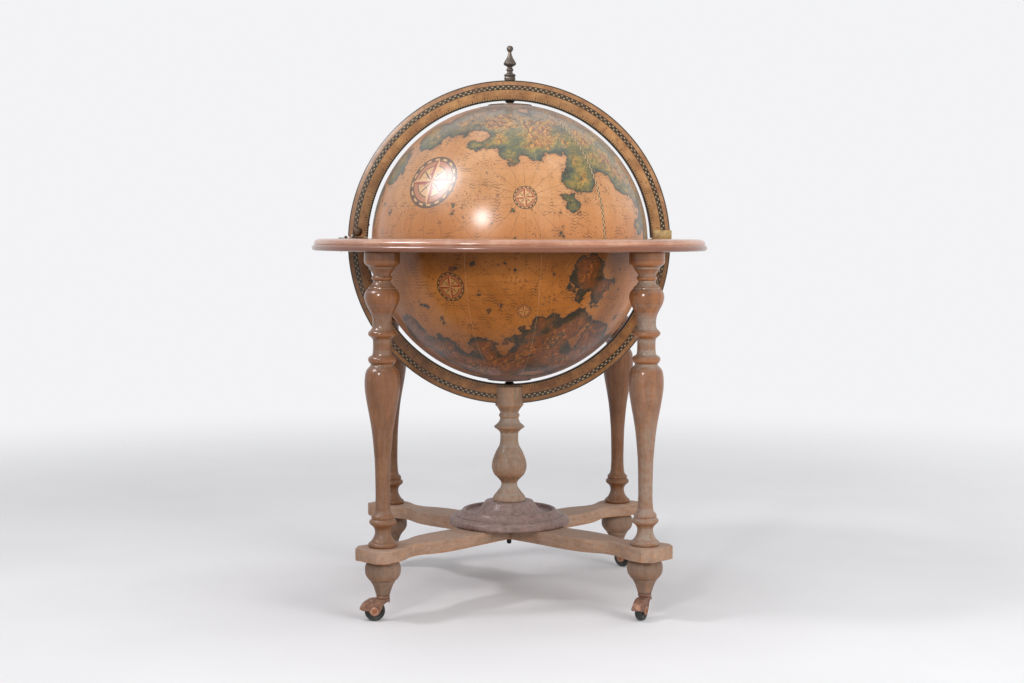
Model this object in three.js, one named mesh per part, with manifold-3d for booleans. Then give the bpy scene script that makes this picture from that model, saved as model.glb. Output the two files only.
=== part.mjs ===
// A floor-standing globe bar: a hinged globe in a horizon ring on four turned legs, with casters.
// Sizes are in millimetres. +Z is up, the floor is Z = 0, and the globe's axis is the Z axis.
// At rest the lid is shut. Its hinge is on the left, -X, and its free foot stands on the right, +X.
import * as THREE from "three";
import { mergeVertices } from "three/addons/utils/BufferGeometryUtils.js";
import Module from "manifold-3d";

// Globe
const GLOBE_RADIUS = 250;
const SHELL_WALL = 6;
const SEAM_GAP = 1; // between the two halves
const CAP_RADIUS = 40;
const CAP_THICKNESS = 1.5;
const HOOP_HEIGHT = 14;
const HOOP_WIDTH = 12;
const LEDGE_WIDTH = 8;

// Bar inside the lower half
const TRAY_THICKNESS = 8;
const TRAY_INSET = 1.5; // tray top below the rim
const BOTTLE_COUNT = 3;
const GLASS_COUNT = 6;
const SHELF_THICKNESS = 8;
const SHELF_RECESS = 3;

// Meridian, in two halves
const MERIDIAN_GAP = 6.8; // from the globe to the inner edge
const MERIDIAN_WIDTH = 35.5;
const MERIDIAN_THICKNESS = 18;

// Horizon ring
const RING_GAP = 6;
const RING_WIDTH = 101;
const RING_THICKNESS = 21;
const RING_TOP_INSET = 13; // the moulded edge steps in by this at the top
const EQUATOR_ABOVE_RING_FOOT = 13.4;

// Legs
const LEG_HEIGHT = 499.5;
const LEG_RADIUS = 30;
const LEG_INSET = 59.3; // leg axis from the ring's hole
const TENON_RADIUS = 9;
const TENON_IN_RING = 12;
const TENON_IN_FOOT = 16;

// Stretcher, two boards halved together
const STRETCHER_THICKNESS = 22;
const ARM_HALF_WIDTH = 36;
const PAD_REACH = 34; // board end beyond the leg axis

// Feet and ferrules
const FOOT_HEIGHT = 65.5;
const FOOT_RADIUS = 30.5;
const FERRULE_HEIGHT = 5.2;
const FERRULE_RADIUS = 11.5;
const FERRULE_WALL = 1.3;

// Casters
const WHEEL_RADIUS = 17.5;
const WHEEL_WIDTH = 12;
const WHEEL_SHOULDER = 2.5;
const WHEEL_TRAIL = 14;
const WHEEL_SIDE_GAP = 1;
const HOOD_CLEARANCE = 1.7;
const HOOD_SHEET = 2;
const HOOD_OVERHANG = 7.3;
const FORK_CHEEK = 1.6;
const STEM_RADIUS = 3.9;
const STEM_LENGTH = 22;
const AXLE_RADIUS = 2.2;
const AXLE_HEAD_RADIUS = 4;
const AXLE_HEAD_HEIGHT = 1.6;

// Base disc and column
const DISC_RADIUS = 110;
const DISC_HEIGHT = 42;
const COLUMN_RADIUS = 32;
const SADDLE_RADIUS = 25.7;
const SADDLE_CHEEK_DROP = 4.2; // cheek tops below the meridian's inner edge
const SADDLE_FLOOR = 3.2; // wood left straight under the slot
const ROD_RADIUS = 4;
const ROD_IN_COLUMN = 60;
const ROD_END = 8;
const NUT_RADIUS = 7.5;
const NUT_HEIGHT = 6;
const WASHER_RADIUS = 11;
const WASHER_THICKNESS = 1.5;

// Pole pins
const PIN_RADIUS = 4;
const PIN_RUN_GAP = 0.5; // end play of the globe on its pins
const PIN_END = 2;
const PIN_NUT_RADIUS = 11.5;
const PIN_SEAT_RADIUS = 14; // flat inside each pole
const PIN_GRIP = 11.5; // beyond the meridian's outer edge
const COLLAR_WIDE = 9.3;
const COLLAR_NARROW = 6;

// Finial
const FINIAL_HEIGHT = 62.5;
const FINIAL_RADIUS = 11.3;

// Hinge on the left foot of the lid
const LEAF_THICKNESS = 1.6;
const HINGE_WIDTH = 15;
const KNUCKLE_RADIUS = 2.4;
const KNUCKLE_LENGTH = 4.8; // the lid's, between the two of the ring leaf
const HINGE_PIN_RADIUS = 1.1;
const HINGE_OFFSET = 3.9; // pivot outside the meridian's outer edge
const RING_LEAF_LENGTH = 13;
const RING_SCREW_INSET = 4.5; // screw's axis from the leaf's end
const FOOT_CHAMFER_WIDTH = 2.6;
const FOOT_CHAMFER_HEIGHT = 8;
const TONGUE_THICKNESS = 3;
const TONGUE_HEIGHT = 24;
const TONGUE_INSET = 7;
const BOLT_RADIUS = 2.5;
const BOLT_ABOVE_RING = 12.6;
const BOLT_HEAD_RADIUS = 8.2;
const BOLT_HEAD_HEIGHT = 6;
const BOLT_CAP_RADIUS = 6;
const BOLT_CAP_HEIGHT = 4;
const FOOT_SCREW_RADIUS = 1;
const FOOT_SCREW_HEAD_RADIUS = 2;
const FOOT_SCREW_HEAD_HEIGHT = 1.2;
const FOOT_SCREW_LENGTH = 5;
const FOOT_SCREW_INSET = 8; // from the meridian's outer edge
const FOOT_SCREW_ABOVE_RING = 5;

// Shoe that takes the lid's free foot
const SHOE_HEIGHT = 16;
const SHOE_WALL = 1.6;
const SHOE_INSET = 3.6;

// Wood screws
const SCREW_RADIUS = 2;
const SCREW_HEAD_RADIUS = 3.8;
const SCREW_TIP = 3;
const SCREW_GRIP = 14; // in the end of the lower meridian

// Fits
const CLEARANCE = 0.3; // between pieces that touch
const OVERRUN = 2; // a cutter past the face it cuts
const WELD = 0.0001;

// Facets of round pieces
const SHELL_SIDES = 28;
const SHELL_STEPS = 7;
const RING_SIDES = 48;
const MERIDIAN_STEPS = 32;
const LEG_SIDES = 10;
const DISC_SIDES = 20;
const COLUMN_SIDES = 12;
const CAP_SIDES = 14;
const CAP_STEPS = 2;
const BOTTLE_SIDES = 12;
const WHEEL_SIDES = 14;
const SMALL_SIDES = 8;
const HEX_SIDES = 6;

// Profiles. Each row is [share of the radius, share of the height], from the bottom up.
const LEG_SHARES = [
  [0.78, 0], [0.83, 0.01], [0.76, 0.021], [0.59, 0.03], [0.48, 0.05], [0.53, 0.066],
  [0.7, 0.075], [0.79, 0.086], [0.7, 0.096], [0.59, 0.1], [0.66, 0.11], [0.55, 0.117],
  [0.43, 0.132], [0.41, 0.186], [0.43, 0.276], [0.5, 0.336], [0.65, 0.416], [0.89, 0.496],
  [0.98, 0.536], [1, 0.561], [0.96, 0.585], [0.85, 0.604], [0.65, 0.62], [0.8, 0.638],
  [0.57, 0.652], [0.52, 0.69], [0.55, 0.705], [0.8, 0.722],
  [0.63, 0.739], [0.54, 0.757], [0.59, 0.785], [0.81, 0.813], [0.95, 0.832], [0.98, 0.847],
  [0.95, 0.862], [0.85, 0.875], [0.53, 0.899], [0.57, 0.916], [0.47, 0.93], [0.55, 0.947],
  [0.76, 0.952], [0.94, 0.961], [1, 0.97], [1, 1],
];
const FOOT_SHARES = [
  [0.38, 0.085], [0.46, 0.25], [0.5, 0.31], [0.59, 0.41], [0.63, 0.46], [0.75, 0.53],
  [0.93, 0.63], [1, 0.74], [0.94, 0.89], [0.82, 1],
];
const COLUMN_SHARES = [
  [0.93, 0], [0.97, 0.014], [0.92, 0.034], [0.8, 0.052], [0.64, 0.086], [0.52, 0.116],
  [0.46, 0.149], [0.51, 0.177], [0.6, 0.211], [0.74, 0.246], [0.89, 0.274], [0.97, 0.312],
  [1, 0.357], [0.97, 0.398], [0.9, 0.437], [0.75, 0.497], [0.6, 0.56], [0.52, 0.623],
  [0.53, 0.686], [0.6, 0.722], [0.76, 0.751], [0.9, 0.783], [0.72, 0.811], [0.57, 0.846],
  [0.57, 0.88], [0.61, 0.909], [0.52, 0.943], [0.66, 0.972],
];
const DISC_SHARES = [
  [0.93, 0], [0.98, 0.05], [1, 0.13], [0.995, 0.22], [0.97, 0.32], [0.92, 0.38], [0.87, 0.4],
  [0.82, 0.5], [0.785, 0.62], [0.755, 0.645], [0.725, 0.61], [0.715, 0.5], [0.62, 0.52],
  [0.52, 0.63], [0.45, 0.75], [0.415, 0.88], [0.4, 0.97], [0.38, 1],
];
const FINIAL_SHARES = [
  [0.86, 0], [0.9, 0.06], [0.78, 0.11], [0.96, 0.15], [0.75, 0.19], [0.46, 0.25], [0.59, 0.31],
  [0.42, 0.36], [0.41, 0.385], [0.8, 0.425], [1, 0.47], [0.97, 0.51], [0.86, 0.57], [0.57, 0.64],
  [0.38, 0.71], [0.26, 0.8], [0.38, 0.84], [0.53, 0.9], [0.45, 0.955], [0.27, 0.99], [0, 1],
];
const BOLT_HEAD_SHARES = [
  [1, 0], [0.94, 0.4], [0.7, 0.8], [0.35, 0.97], [0, 1],
];
// The ring's moulded edge: [share of the top inset still standing out, share of the thickness].
const RING_EDGE_SHARES = [
  [0.88, 0], [1, 0.07], [1, 0.36], [0.9, 0.45], [0.74, 0.49], [0.72, 0.6], [0.53, 0.78],
  [0.24, 0.93], [0, 1],
];
// Half the plan of an arm: [share of the way from the centre to the leg axis, share of the half width].
const ARM_SHARES = [
  [0, 0.92], [0.18, 0.92], [0.33, 0.99], [0.5, 1.02], [0.63, 0.97], [0.7, 0.84], [0.76, 0.64],
  [0.81, 0.55], [0.86, 0.6], [0.91, 0.78], [0.96, 0.94],
];
// The pad that ends an arm: [share of the reach past the leg axis, share of the half width].
const PAD_SHARES = [
  [0.08, 0.99], [0.56, 1], [1, 0.6],
];
// The fork seen from the side: [share of the hood's reach past the stem, share of the height].
const FORK_SHARES = [
  [0.41, 1], [0.55, 0.965], [0.69, 0.89], [0.82, 0.785], [0.92, 0.675], [1, 0.53], [0.88, 0.46],
  [0.62, 0.42], [0.55, 0.32], [0.46, 0.23], [0.35, 0.195], [0.24, 0.23], [0.15, 0.33],
  [0.03, 0.59], [-0.05, 0.69], [-0.26, 0.84], [-0.345, 0.79], [-0.32, 1],
];
// Of the tray's radius
const BOTTLE_SHARE = 0.2;
const BOTTLE_CIRCLE_SHARE = 0.34;
const GLASS_SHARE = 0.143;
const GLASS_CIRCLE_SHARE = 0.765;
// Of the globe's radius
const SHELF_DEPTH_SHARE = 0.6;
// Of the hoop's width
const HOOP_CHAMFER_SHARE = 0.15;
const SCREW_HEAD_SHARE = 0.8; // head height to head radius

// Casters at rest: which corner, and the way the wheel trails from its stem, in degrees from +X.
const CORNERS = [
  { corner: "front_left", x: -1, y: -1, trail: 180 },
  { corner: "front_right", x: 1, y: -1, trail: -119 },
  { corner: "back_left", x: -1, y: 1, trail: 170 },
  { corner: "back_right", x: 1, y: 1, trail: -38 },
];

// Places worked out from the sizes
const QUARTER_TURN = Math.PI / 2;
const HALF_TURN = Math.PI;
const CASTER_HEIGHT = 2 * WHEEL_RADIUS + HOOD_CLEARANCE + HOOD_SHEET + CLEARANCE;
const STRETCHER_BOTTOM = CASTER_HEIGHT + FOOT_HEIGHT;
const STRETCHER_TOP = STRETCHER_BOTTOM + STRETCHER_THICKNESS;
const RING_BOTTOM = STRETCHER_TOP + LEG_HEIGHT;
const RING_TOP = RING_BOTTOM + RING_THICKNESS;
const CENTRE = RING_BOTTOM + EQUATOR_ABOVE_RING_FOOT;
const RING_INNER = GLOBE_RADIUS + RING_GAP;
const RING_OUTER = RING_INNER + RING_WIDTH;
const LEG_CIRCLE = RING_INNER + LEG_INSET;
const LEG_OFFSET = LEG_CIRCLE * Math.SQRT1_2;
const MERIDIAN_INNER = GLOBE_RADIUS + MERIDIAN_GAP;
const MERIDIAN_OUTER = MERIDIAN_INNER + MERIDIAN_WIDTH;
const SHELL_INNER = GLOBE_RADIUS - SHELL_WALL;
const LID_FOOT = RING_TOP + LEAF_THICKNESS + 2 * CLEARANCE;
const PIVOT_X = -(MERIDIAN_OUTER + HINGE_OFFSET);
const PIVOT_Z = RING_TOP + CLEARANCE + KNUCKLE_RADIUS;
const MERIDIAN_MIDDLE = MERIDIAN_INNER + MERIDIAN_WIDTH / 2;

const wasm = await Module();
wasm.setup();
const root = new THREE.Group();

// Finishes
function finish(color, roughness, metalness) {
  return new THREE.MeshStandardMaterial({ color, roughness, metalness });
}
const TURNED_WOOD = finish(0x8a6244, 0.45, 0);
const RING_WOOD = finish(0xa5765c, 0.3, 0);
const DISC_WOOD = finish(0x7d625c, 0.5, 0);
const PLAIN_WOOD = finish(0x8f6b4b, 0.55, 0);
const MAP_PAPER = finish(0xcf9c66, 0.3, 0);
const MERIDIAN_PAPER = finish(0xb08a63, 0.4, 0);
const BLACK_METAL = finish(0x1c1a18, 0.4, 0.8);
const BRASS = finish(0xb99a5a, 0.35, 1);
const BRONZE = finish(0x6b5645, 0.35, 0.9);
const COPPERED_STEEL = finish(0x8a6652, 0.4, 0.8);
const STEEL = finish(0x8c8a86, 0.35, 0.9);
const PEWTER = finish(0x8a8079, 0.35, 0.9);
const DARK_RUBBER = finish(0x33362f, 0.6, 0);

// Shape helpers
// The circumradius of a faceted hole whose flats clear a round shaft, however either is turned.
function boreRadius(shaftRadius, sides) {
  return (shaftRadius + CLEARANCE) / Math.cos(Math.PI / sides);
}

function profileOf(shares, radius, bottom, top) {
  return shares.map(([r, h]) => [r * radius, bottom + h * (top - bottom)]);
}

function arcOf(radius, from, to, steps) {
  return Array.from({ length: steps + 1 }, (_, i) => {
    const angle = from + ((to - from) * i) / steps;
    return [radius * Math.cos(angle), radius * Math.sin(angle)];
  });
}

// A solid of revolution about Z. The profile is [radius, height], from the axis back to the axis.
function turned(profile, sides) {
  const points = profile.map(([radius, height]) => new THREE.Vector2(radius, height));
  return new THREE.LatheGeometry(points, sides).rotateX(QUARTER_TURN);
}

// The same about a hollow middle: the profile closes on itself.
function turnedRing(profile, sides) {
  return turned([...profile, profile[0]], sides);
}

function rod(radius, bottom, top, sides) {
  return turned([[0, bottom], [radius, bottom], [radius, top], [0, top]], sides);
}

function tube(inner, outer, bottom, top, sides) {
  return turnedRing([[inner, bottom], [outer, bottom], [outer, top], [inner, top]], sides);
}

function box(x0, x1, y0, y1, z0, z1) {
  const geometry = new THREE.BoxGeometry(x1 - x0, y1 - y0, z1 - z0);
  return geometry.translate((x0 + x1) / 2, (y0 + y1) / 2, (z0 + z1) / 2);
}

// An outline in X and Z, given its thickness evenly about Y = 0.
function slab(shape, thickness, curveSegments) {
  const geometry = new THREE.ExtrudeGeometry(shape, { depth: thickness, bevelEnabled: false, curveSegments });
  return geometry.rotateX(QUARTER_TURN).translate(0, thickness / 2, 0);
}

// An outline in X and Y, given its thickness upwards.
function plate(shape, bottom, top) {
  const geometry = new THREE.ExtrudeGeometry(shape, { depth: top - bottom, bevelEnabled: false });
  return geometry.translate(0, 0, bottom);
}

function shapeOf(points) {
  return new THREE.Shape(points.map(([x, y]) => new THREE.Vector2(x, y)));
}

// Turns a piece made about Z so that its +Z end points along +Y.
function alongY(geometry) {
  return geometry.rotateX(-QUARTER_TURN);
}

function solidOf(geometry) {
  const bare = geometry.clone();
  bare.deleteAttribute("normal");
  bare.deleteAttribute("uv");
  const merged = mergeVertices(bare, WELD);
  return new wasm.Manifold(new wasm.Mesh({
    numProp: 3,
    vertProperties: new Float32Array(merged.getAttribute("position").array),
    triVerts: new Uint32Array(merged.index.array),
  }));
}

function geometryOf(solid) {
  const { vertProperties, triVerts } = solid.getMesh();
  const geometry = new THREE.BufferGeometry();
  geometry.setAttribute("position", new THREE.BufferAttribute(vertProperties, 3));
  geometry.setIndex(new THREE.BufferAttribute(triVerts, 1));
  return geometry;
}

function cut(geometry, ...cutters) {
  return geometryOf(cutters.reduce((solid, cutter) => solid.subtract(solidOf(cutter)), solidOf(geometry)));
}

function join(geometry, ...others) {
  return geometryOf(others.reduce((solid, other) => solid.add(solidOf(other)), solidOf(geometry)));
}

function add(name, geometry, material, parent = root) {
  const mesh = new THREE.Mesh(geometry, material);
  mesh.name = name;
  parent.add(mesh);
  return mesh;
}

// Horizon ring with its moulded edge, leg sockets and screw holes.
function horizonRing() {
  const edge = RING_EDGE_SHARES.map(([out, up]) => [
    RING_OUTER - RING_TOP_INSET * (1 - out),
    RING_BOTTOM + up * RING_THICKNESS,
  ]);
  const blank = turnedRing([[RING_INNER, RING_BOTTOM], ...edge, [RING_INNER, RING_TOP]], RING_SIDES);
  const sockets = CORNERS.map(({ x, y }) => {
    const top = RING_BOTTOM + TENON_IN_RING + CLEARANCE;
    const socket = rod(TENON_RADIUS + CLEARANCE, RING_BOTTOM - OVERRUN, top, LEG_SIDES);
    return socket.translate(x * LEG_OFFSET, y * LEG_OFFSET, 0);
  });
  const holes = RING_SCREWS.flatMap(({ x, top }) => {
    const hole = rod(SCREW_RADIUS + CLEARANCE, RING_BOTTOM - OVERRUN, RING_TOP + OVERRUN, SMALL_SIDES);
    const sink = screwHead(top + CLEARANCE, SCREW_HEAD_RADIUS + CLEARANCE);
    return [hole.translate(x, 0, 0), sink.translate(x, 0, 0)];
  });
  return cut(blank, ...sockets, ...holes);
}

// Screws. A countersunk head tapers to the shank over its height.
const LEAF_BOTTOM = RING_TOP + CLEARANCE;
const LEAF_TOP = LEAF_BOTTOM + LEAF_THICKNESS;
const SCREW_HEAD_HEIGHT = SCREW_HEAD_RADIUS * SCREW_HEAD_SHARE;
const RING_SCREW_X = PIVOT_X - RING_LEAF_LENGTH + RING_SCREW_INSET;
const RING_SCREWS = [
  { x: RING_SCREW_X, top: LEAF_TOP },
  { x: -MERIDIAN_MIDDLE, top: RING_TOP },
  { x: MERIDIAN_MIDDLE, top: LEAF_TOP },
];

function screwHead(top, radius) {
  const bottom = top - SCREW_HEAD_HEIGHT - CLEARANCE;
  return turned([[0, bottom], [SCREW_RADIUS, bottom], [radius, top], [0, top]], SMALL_SIDES);
}

function woodScrew(top, bottom) {
  const profile = [
    [0, bottom],
    [SCREW_RADIUS, bottom + SCREW_TIP],
    [SCREW_RADIUS, top - SCREW_HEAD_HEIGHT],
    [SCREW_HEAD_RADIUS, top],
    [0, top],
  ];
  return turned(profile, SMALL_SIDES);
}

// Turned leg, with a tenon at each end.
function leg() {
  const bottom = STRETCHER_TOP + CLEARANCE;
  const top = RING_BOTTOM - CLEARANCE;
  const tenonBottom = STRETCHER_BOTTOM - TENON_IN_FOOT;
  const tenonTop = RING_BOTTOM + TENON_IN_RING;
  const profile = [
    [0, tenonBottom],
    [TENON_RADIUS, tenonBottom],
    [TENON_RADIUS, bottom],
    ...profileOf(LEG_SHARES, LEG_RADIUS, bottom, top),
    [TENON_RADIUS, top],
    [TENON_RADIUS, tenonTop],
    [0, tenonTop],
  ];
  return turned(profile, LEG_SIDES);
}

// Bun foot, bored from above for the leg's tenon and from below for the caster's stem.
function foot() {
  const bottom = CASTER_HEIGHT + FERRULE_WALL + CLEARANCE;
  const top = STRETCHER_BOTTOM - CLEARANCE;
  const neck = FERRULE_RADIUS - FERRULE_WALL - CLEARANCE;
  const neckTop = CASTER_HEIGHT + FERRULE_HEIGHT + CLEARANCE;
  const bore = boreRadius(STEM_RADIUS, LEG_SIDES);
  const boreTop = CASTER_HEIGHT + STEM_LENGTH + OVERRUN;
  const socket = TENON_RADIUS + CLEARANCE;
  const socketBottom = STRETCHER_BOTTOM - TENON_IN_FOOT - CLEARANCE;
  const profile = [
    [0, boreTop],
    [bore, boreTop],
    [bore, bottom],
    [neck, bottom],
    [neck, neckTop],
    ...profileOf(FOOT_SHARES, FOOT_RADIUS, CASTER_HEIGHT, top),
    [socket, top],
    [socket, socketBottom],
    [0, socketBottom],
  ];
  return turned(profile, LEG_SIDES);
}

// Cup round the foot's neck, with the stem's hole in its floor.
function ferrule() {
  const hole = boreRadius(STEM_RADIUS, LEG_SIDES);
  const floor = CASTER_HEIGHT + FERRULE_WALL;
  const top = CASTER_HEIGHT + FERRULE_HEIGHT;
  const inner = FERRULE_RADIUS - FERRULE_WALL;
  const profile = [
    [hole, CASTER_HEIGHT],
    [FERRULE_RADIUS, CASTER_HEIGHT],
    [FERRULE_RADIUS, top],
    [inner, top],
    [inner, floor],
    [hole, floor],
  ];
  return turnedRing(profile, LEG_SIDES);
}

// One stretcher board along X, with a leg's hole at each end and half its middle cut away.
function stretcherBoard(keepsTop) {
  const side = [
    ...ARM_SHARES.map(([along, across]) => [along * LEG_CIRCLE, across * ARM_HALF_WIDTH]),
    ...PAD_SHARES.map(([along, across]) => [LEG_CIRCLE + along * PAD_REACH, across * ARM_HALF_WIDTH]),
  ];
  const near = [...side].reverse();
  const outline = [
    ...near,
    ...side.slice(1).map(([x, y]) => [-x, y]),
    ...near.map(([x, y]) => [-x, -y]),
    ...side.slice(1).map(([x, y]) => [x, -y]),
  ];
  const blank = plate(shapeOf(outline), STRETCHER_BOTTOM, STRETCHER_TOP);
  const lapHalf = ARM_SHARES[0][1] * ARM_HALF_WIDTH + CLEARANCE;
  const middle = (STRETCHER_BOTTOM + STRETCHER_TOP) / 2;
  const reach = 2 * ARM_HALF_WIDTH;
  const lap = keepsTop
    ? box(-lapHalf, lapHalf, -reach, reach, STRETCHER_BOTTOM - OVERRUN, middle + CLEARANCE / 2)
    : box(-lapHalf, lapHalf, -reach, reach, middle - CLEARANCE / 2, STRETCHER_TOP + OVERRUN);
  const hole = (radius, x) => {
    const bore = boreRadius(radius, LEG_SIDES);
    return rod(bore, STRETCHER_BOTTOM - OVERRUN, STRETCHER_TOP + OVERRUN, LEG_SIDES).translate(x, 0, 0);
  };
  return cut(
    blank,
    lap,
    hole(TENON_RADIUS, LEG_CIRCLE),
    hole(TENON_RADIUS, -LEG_CIRCLE),
    hole(ROD_RADIUS, 0),
  );
}

// Caster fork: two cheeks under a hood, and the stem that it swivels on.
const FORK_TOP = CASTER_HEIGHT - CLEARANCE;
const FORK_INNER = WHEEL_WIDTH + 2 * WHEEL_SIDE_GAP;
const FORK_WIDTH = FORK_INNER + 2 * FORK_CHEEK;
const HOOD_REACH = WHEEL_TRAIL + WHEEL_RADIUS + HOOD_OVERHANG;

function casterFork() {
  const outline = FORK_SHARES.map(([along, up]) => [along * HOOD_REACH, up * FORK_TOP]);
  const body = slab(shapeOf(outline), FORK_WIDTH);
  const well = alongY(rod(WHEEL_RADIUS + HOOD_CLEARANCE, -FORK_INNER / 2, FORK_INNER / 2, WHEEL_SIDES));
  const hole = alongY(rod(AXLE_RADIUS + CLEARANCE, -FORK_WIDTH, FORK_WIDTH, SMALL_SIDES));
  const stem = rod(STEM_RADIUS, FORK_TOP - HOOD_SHEET, FORK_TOP + STEM_LENGTH, SMALL_SIDES);
  const wheelCentre = [WHEEL_TRAIL, 0, WHEEL_RADIUS];
  return cut(join(body, stem), well.translate(...wheelCentre), hole.translate(...wheelCentre));
}

// Wheel about Y, with its flats tangent to the true tread and one flat on the floor.
function casterWheel() {
  const tread = WHEEL_RADIUS / Math.cos(Math.PI / WHEEL_SIDES);
  const half = WHEEL_WIDTH / 2;
  const shoulder = half - WHEEL_SHOULDER;
  const bore = boreRadius(AXLE_RADIUS, WHEEL_SIDES);
  const profile = [
    [bore, -half],
    [tread - WHEEL_SHOULDER, -half],
    [tread, -shoulder],
    [tread, shoulder],
    [tread - WHEEL_SHOULDER, half],
    [bore, half],
  ];
  const flatDown = Math.PI / WHEEL_SIDES;
  return alongY(turnedRing(profile, WHEEL_SIDES).rotateZ(flatDown));
}

function casterAxle() {
  const seat = FORK_WIDTH / 2 + CLEARANCE;
  const end = seat + AXLE_HEAD_HEIGHT;
  const profile = [
    [0, -end],
    [AXLE_HEAD_RADIUS, -end],
    [AXLE_HEAD_RADIUS, -seat],
    [AXLE_RADIUS, -seat],
    [AXLE_RADIUS, seat],
    [AXLE_HEAD_RADIUS, seat],
    [AXLE_HEAD_RADIUS, end],
    [0, end],
  ];
  return alongY(turned(profile, SMALL_SIDES));
}

// Dished disc on the crossing of the stretcher, with a boss for the column.
const DISC_BOTTOM = STRETCHER_TOP + CLEARANCE;
const DISC_TOP = STRETCHER_TOP + DISC_HEIGHT;

function baseDisc() {
  const hole = ROD_RADIUS + CLEARANCE;
  const profile = [
    [hole, DISC_BOTTOM],
    ...profileOf(DISC_SHARES, DISC_RADIUS, DISC_BOTTOM, DISC_TOP),
    [hole, DISC_TOP],
  ];
  return turnedRing(profile, DISC_SIDES);
}

// Column: turned below, with a round saddle slotted for the lower meridian.
const COLUMN_BOTTOM = DISC_TOP + CLEARANCE;
const SLOT_FLOOR = CENTRE - MERIDIAN_OUTER - 2 * CLEARANCE;
const SADDLE_BOTTOM = SLOT_FLOOR - SADDLE_FLOOR;
const SADDLE_TOP = CENTRE - MERIDIAN_INNER - SADDLE_CHEEK_DROP;

function centreColumn() {
  const boreTop = COLUMN_BOTTOM + ROD_IN_COLUMN + CLEARANCE;
  const rodBore = ROD_RADIUS + CLEARANCE;
  const profile = [
    [0, boreTop],
    [rodBore, boreTop],
    [rodBore, COLUMN_BOTTOM],
    ...profileOf(COLUMN_SHARES, COLUMN_RADIUS, COLUMN_BOTTOM, SADDLE_BOTTOM),
    [SADDLE_RADIUS, SADDLE_BOTTOM],
    [SADDLE_RADIUS, SADDLE_TOP],
    [0, SADDLE_TOP],
  ];
  const blank = turned(profile, COLUMN_SIDES);
  const reach = SADDLE_RADIUS + OVERRUN;
  const half = MERIDIAN_THICKNESS / 2 + CLEARANCE;
  const slot = box(-reach, reach, -half, half, SLOT_FLOOR, SADDLE_TOP + OVERRUN);
  const pinBottom = CENTRE - MERIDIAN_OUTER - PIN_GRIP - CLEARANCE;
  return cut(blank, slot, rod(PIN_RADIUS + CLEARANCE, pinBottom, SLOT_FLOOR + OVERRUN, SMALL_SIDES));
}

const WASHER_TOP = STRETCHER_BOTTOM - CLEARANCE;
const NUT_TOP = WASHER_TOP - WASHER_THICKNESS - CLEARANCE;
const NUT_BOTTOM = NUT_TOP - NUT_HEIGHT;

// Half a meridian above the globe's centre, standing on a level cut.
function halfMeridian(footHeight) {
  const outerStart = Math.asin(footHeight / MERIDIAN_OUTER);
  const innerStart = Math.asin(footHeight / MERIDIAN_INNER);
  const shape = new THREE.Shape();
  shape.absarc(0, 0, MERIDIAN_OUTER, outerStart, HALF_TURN - outerStart, false);
  shape.absarc(0, 0, MERIDIAN_INNER, HALF_TURN - innerStart, innerStart, true);
  const bore = PIN_RADIUS + CLEARANCE;
  const pinHole = rod(bore, MERIDIAN_INNER - OVERRUN, MERIDIAN_OUTER + OVERRUN, SMALL_SIDES);
  return cut(slab(shape, MERIDIAN_THICKNESS, MERIDIAN_STEPS), pinHole);
}

function lowerMeridian() {
  const foot = EQUATOR_ABOVE_RING_FOOT + CLEARANCE;
  const half = halfMeridian(foot).rotateX(HALF_TURN).translate(0, 0, CENTRE);
  const pilots = [-MERIDIAN_MIDDLE, MERIDIAN_MIDDLE].map((x) => {
    const bottom = RING_BOTTOM - SCREW_GRIP - CLEARANCE;
    return rod(SCREW_RADIUS + CLEARANCE, bottom, RING_BOTTOM + OVERRUN, SMALL_SIDES).translate(x, 0, 0);
  });
  return cut(half, ...pilots);
}

// The lid's half. Its left foot is slotted for the hinge's tongue, bored for the bolt and a small screw,
// and loses its outer corner where the knuckles are.
const BOLT_X = -MERIDIAN_MIDDLE;
const BOLT_Z = RING_TOP + BOLT_ABOVE_RING;
const FOOT_SCREW_X = -(MERIDIAN_OUTER - FOOT_SCREW_INSET);
const FOOT_SCREW_Z = RING_TOP + FOOT_SCREW_ABOVE_RING;
const TONGUE_X0 = -(MERIDIAN_OUTER - TONGUE_INSET);
const TONGUE_X1 = -(MERIDIAN_INNER + TONGUE_INSET);

function upperMeridian() {
  const half = halfMeridian(LID_FOOT - CENTRE).translate(0, 0, CENTRE);
  const slotHalf = TONGUE_THICKNESS / 2 + CLEARANCE;
  const slotTop = RING_TOP + TONGUE_HEIGHT + CLEARANCE;
  const slot = box(
    TONGUE_X0 - CLEARANCE, TONGUE_X1 + CLEARANCE, -slotHalf, slotHalf, LID_FOOT - OVERRUN, slotTop,
  );
  const bore = alongY(rod(BOLT_RADIUS + CLEARANCE, -MERIDIAN_THICKNESS, MERIDIAN_THICKNESS, SMALL_SIDES));
  const corner = shapeOf([
    [-MERIDIAN_OUTER - OVERRUN, LID_FOOT - OVERRUN],
    [-MERIDIAN_OUTER + FOOT_CHAMFER_WIDTH, LID_FOOT - OVERRUN],
    [-MERIDIAN_OUTER + FOOT_CHAMFER_WIDTH, LID_FOOT],
    [-MERIDIAN_OUTER - OVERRUN, LID_FOOT + FOOT_CHAMFER_HEIGHT],
  ]);
  const screwDepth = FOOT_SCREW_LENGTH + CLEARANCE;
  const screwHole = alongFront(rod(FOOT_SCREW_RADIUS + CLEARANCE, -OVERRUN, screwDepth, SMALL_SIDES));
  return cut(
    half,
    slot,
    bore.translate(BOLT_X, 0, BOLT_Z),
    slab(corner, MERIDIAN_THICKNESS + OVERRUN),
    screwHole.translate(FOOT_SCREW_X, 0, FOOT_SCREW_Z),
  );
}

// Turns a piece made about Z so that +Z runs into the meridian's front face, from that face on.
function alongFront(geometry) {
  return alongY(geometry).translate(0, -MERIDIAN_THICKNESS / 2, 0);
}

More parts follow.
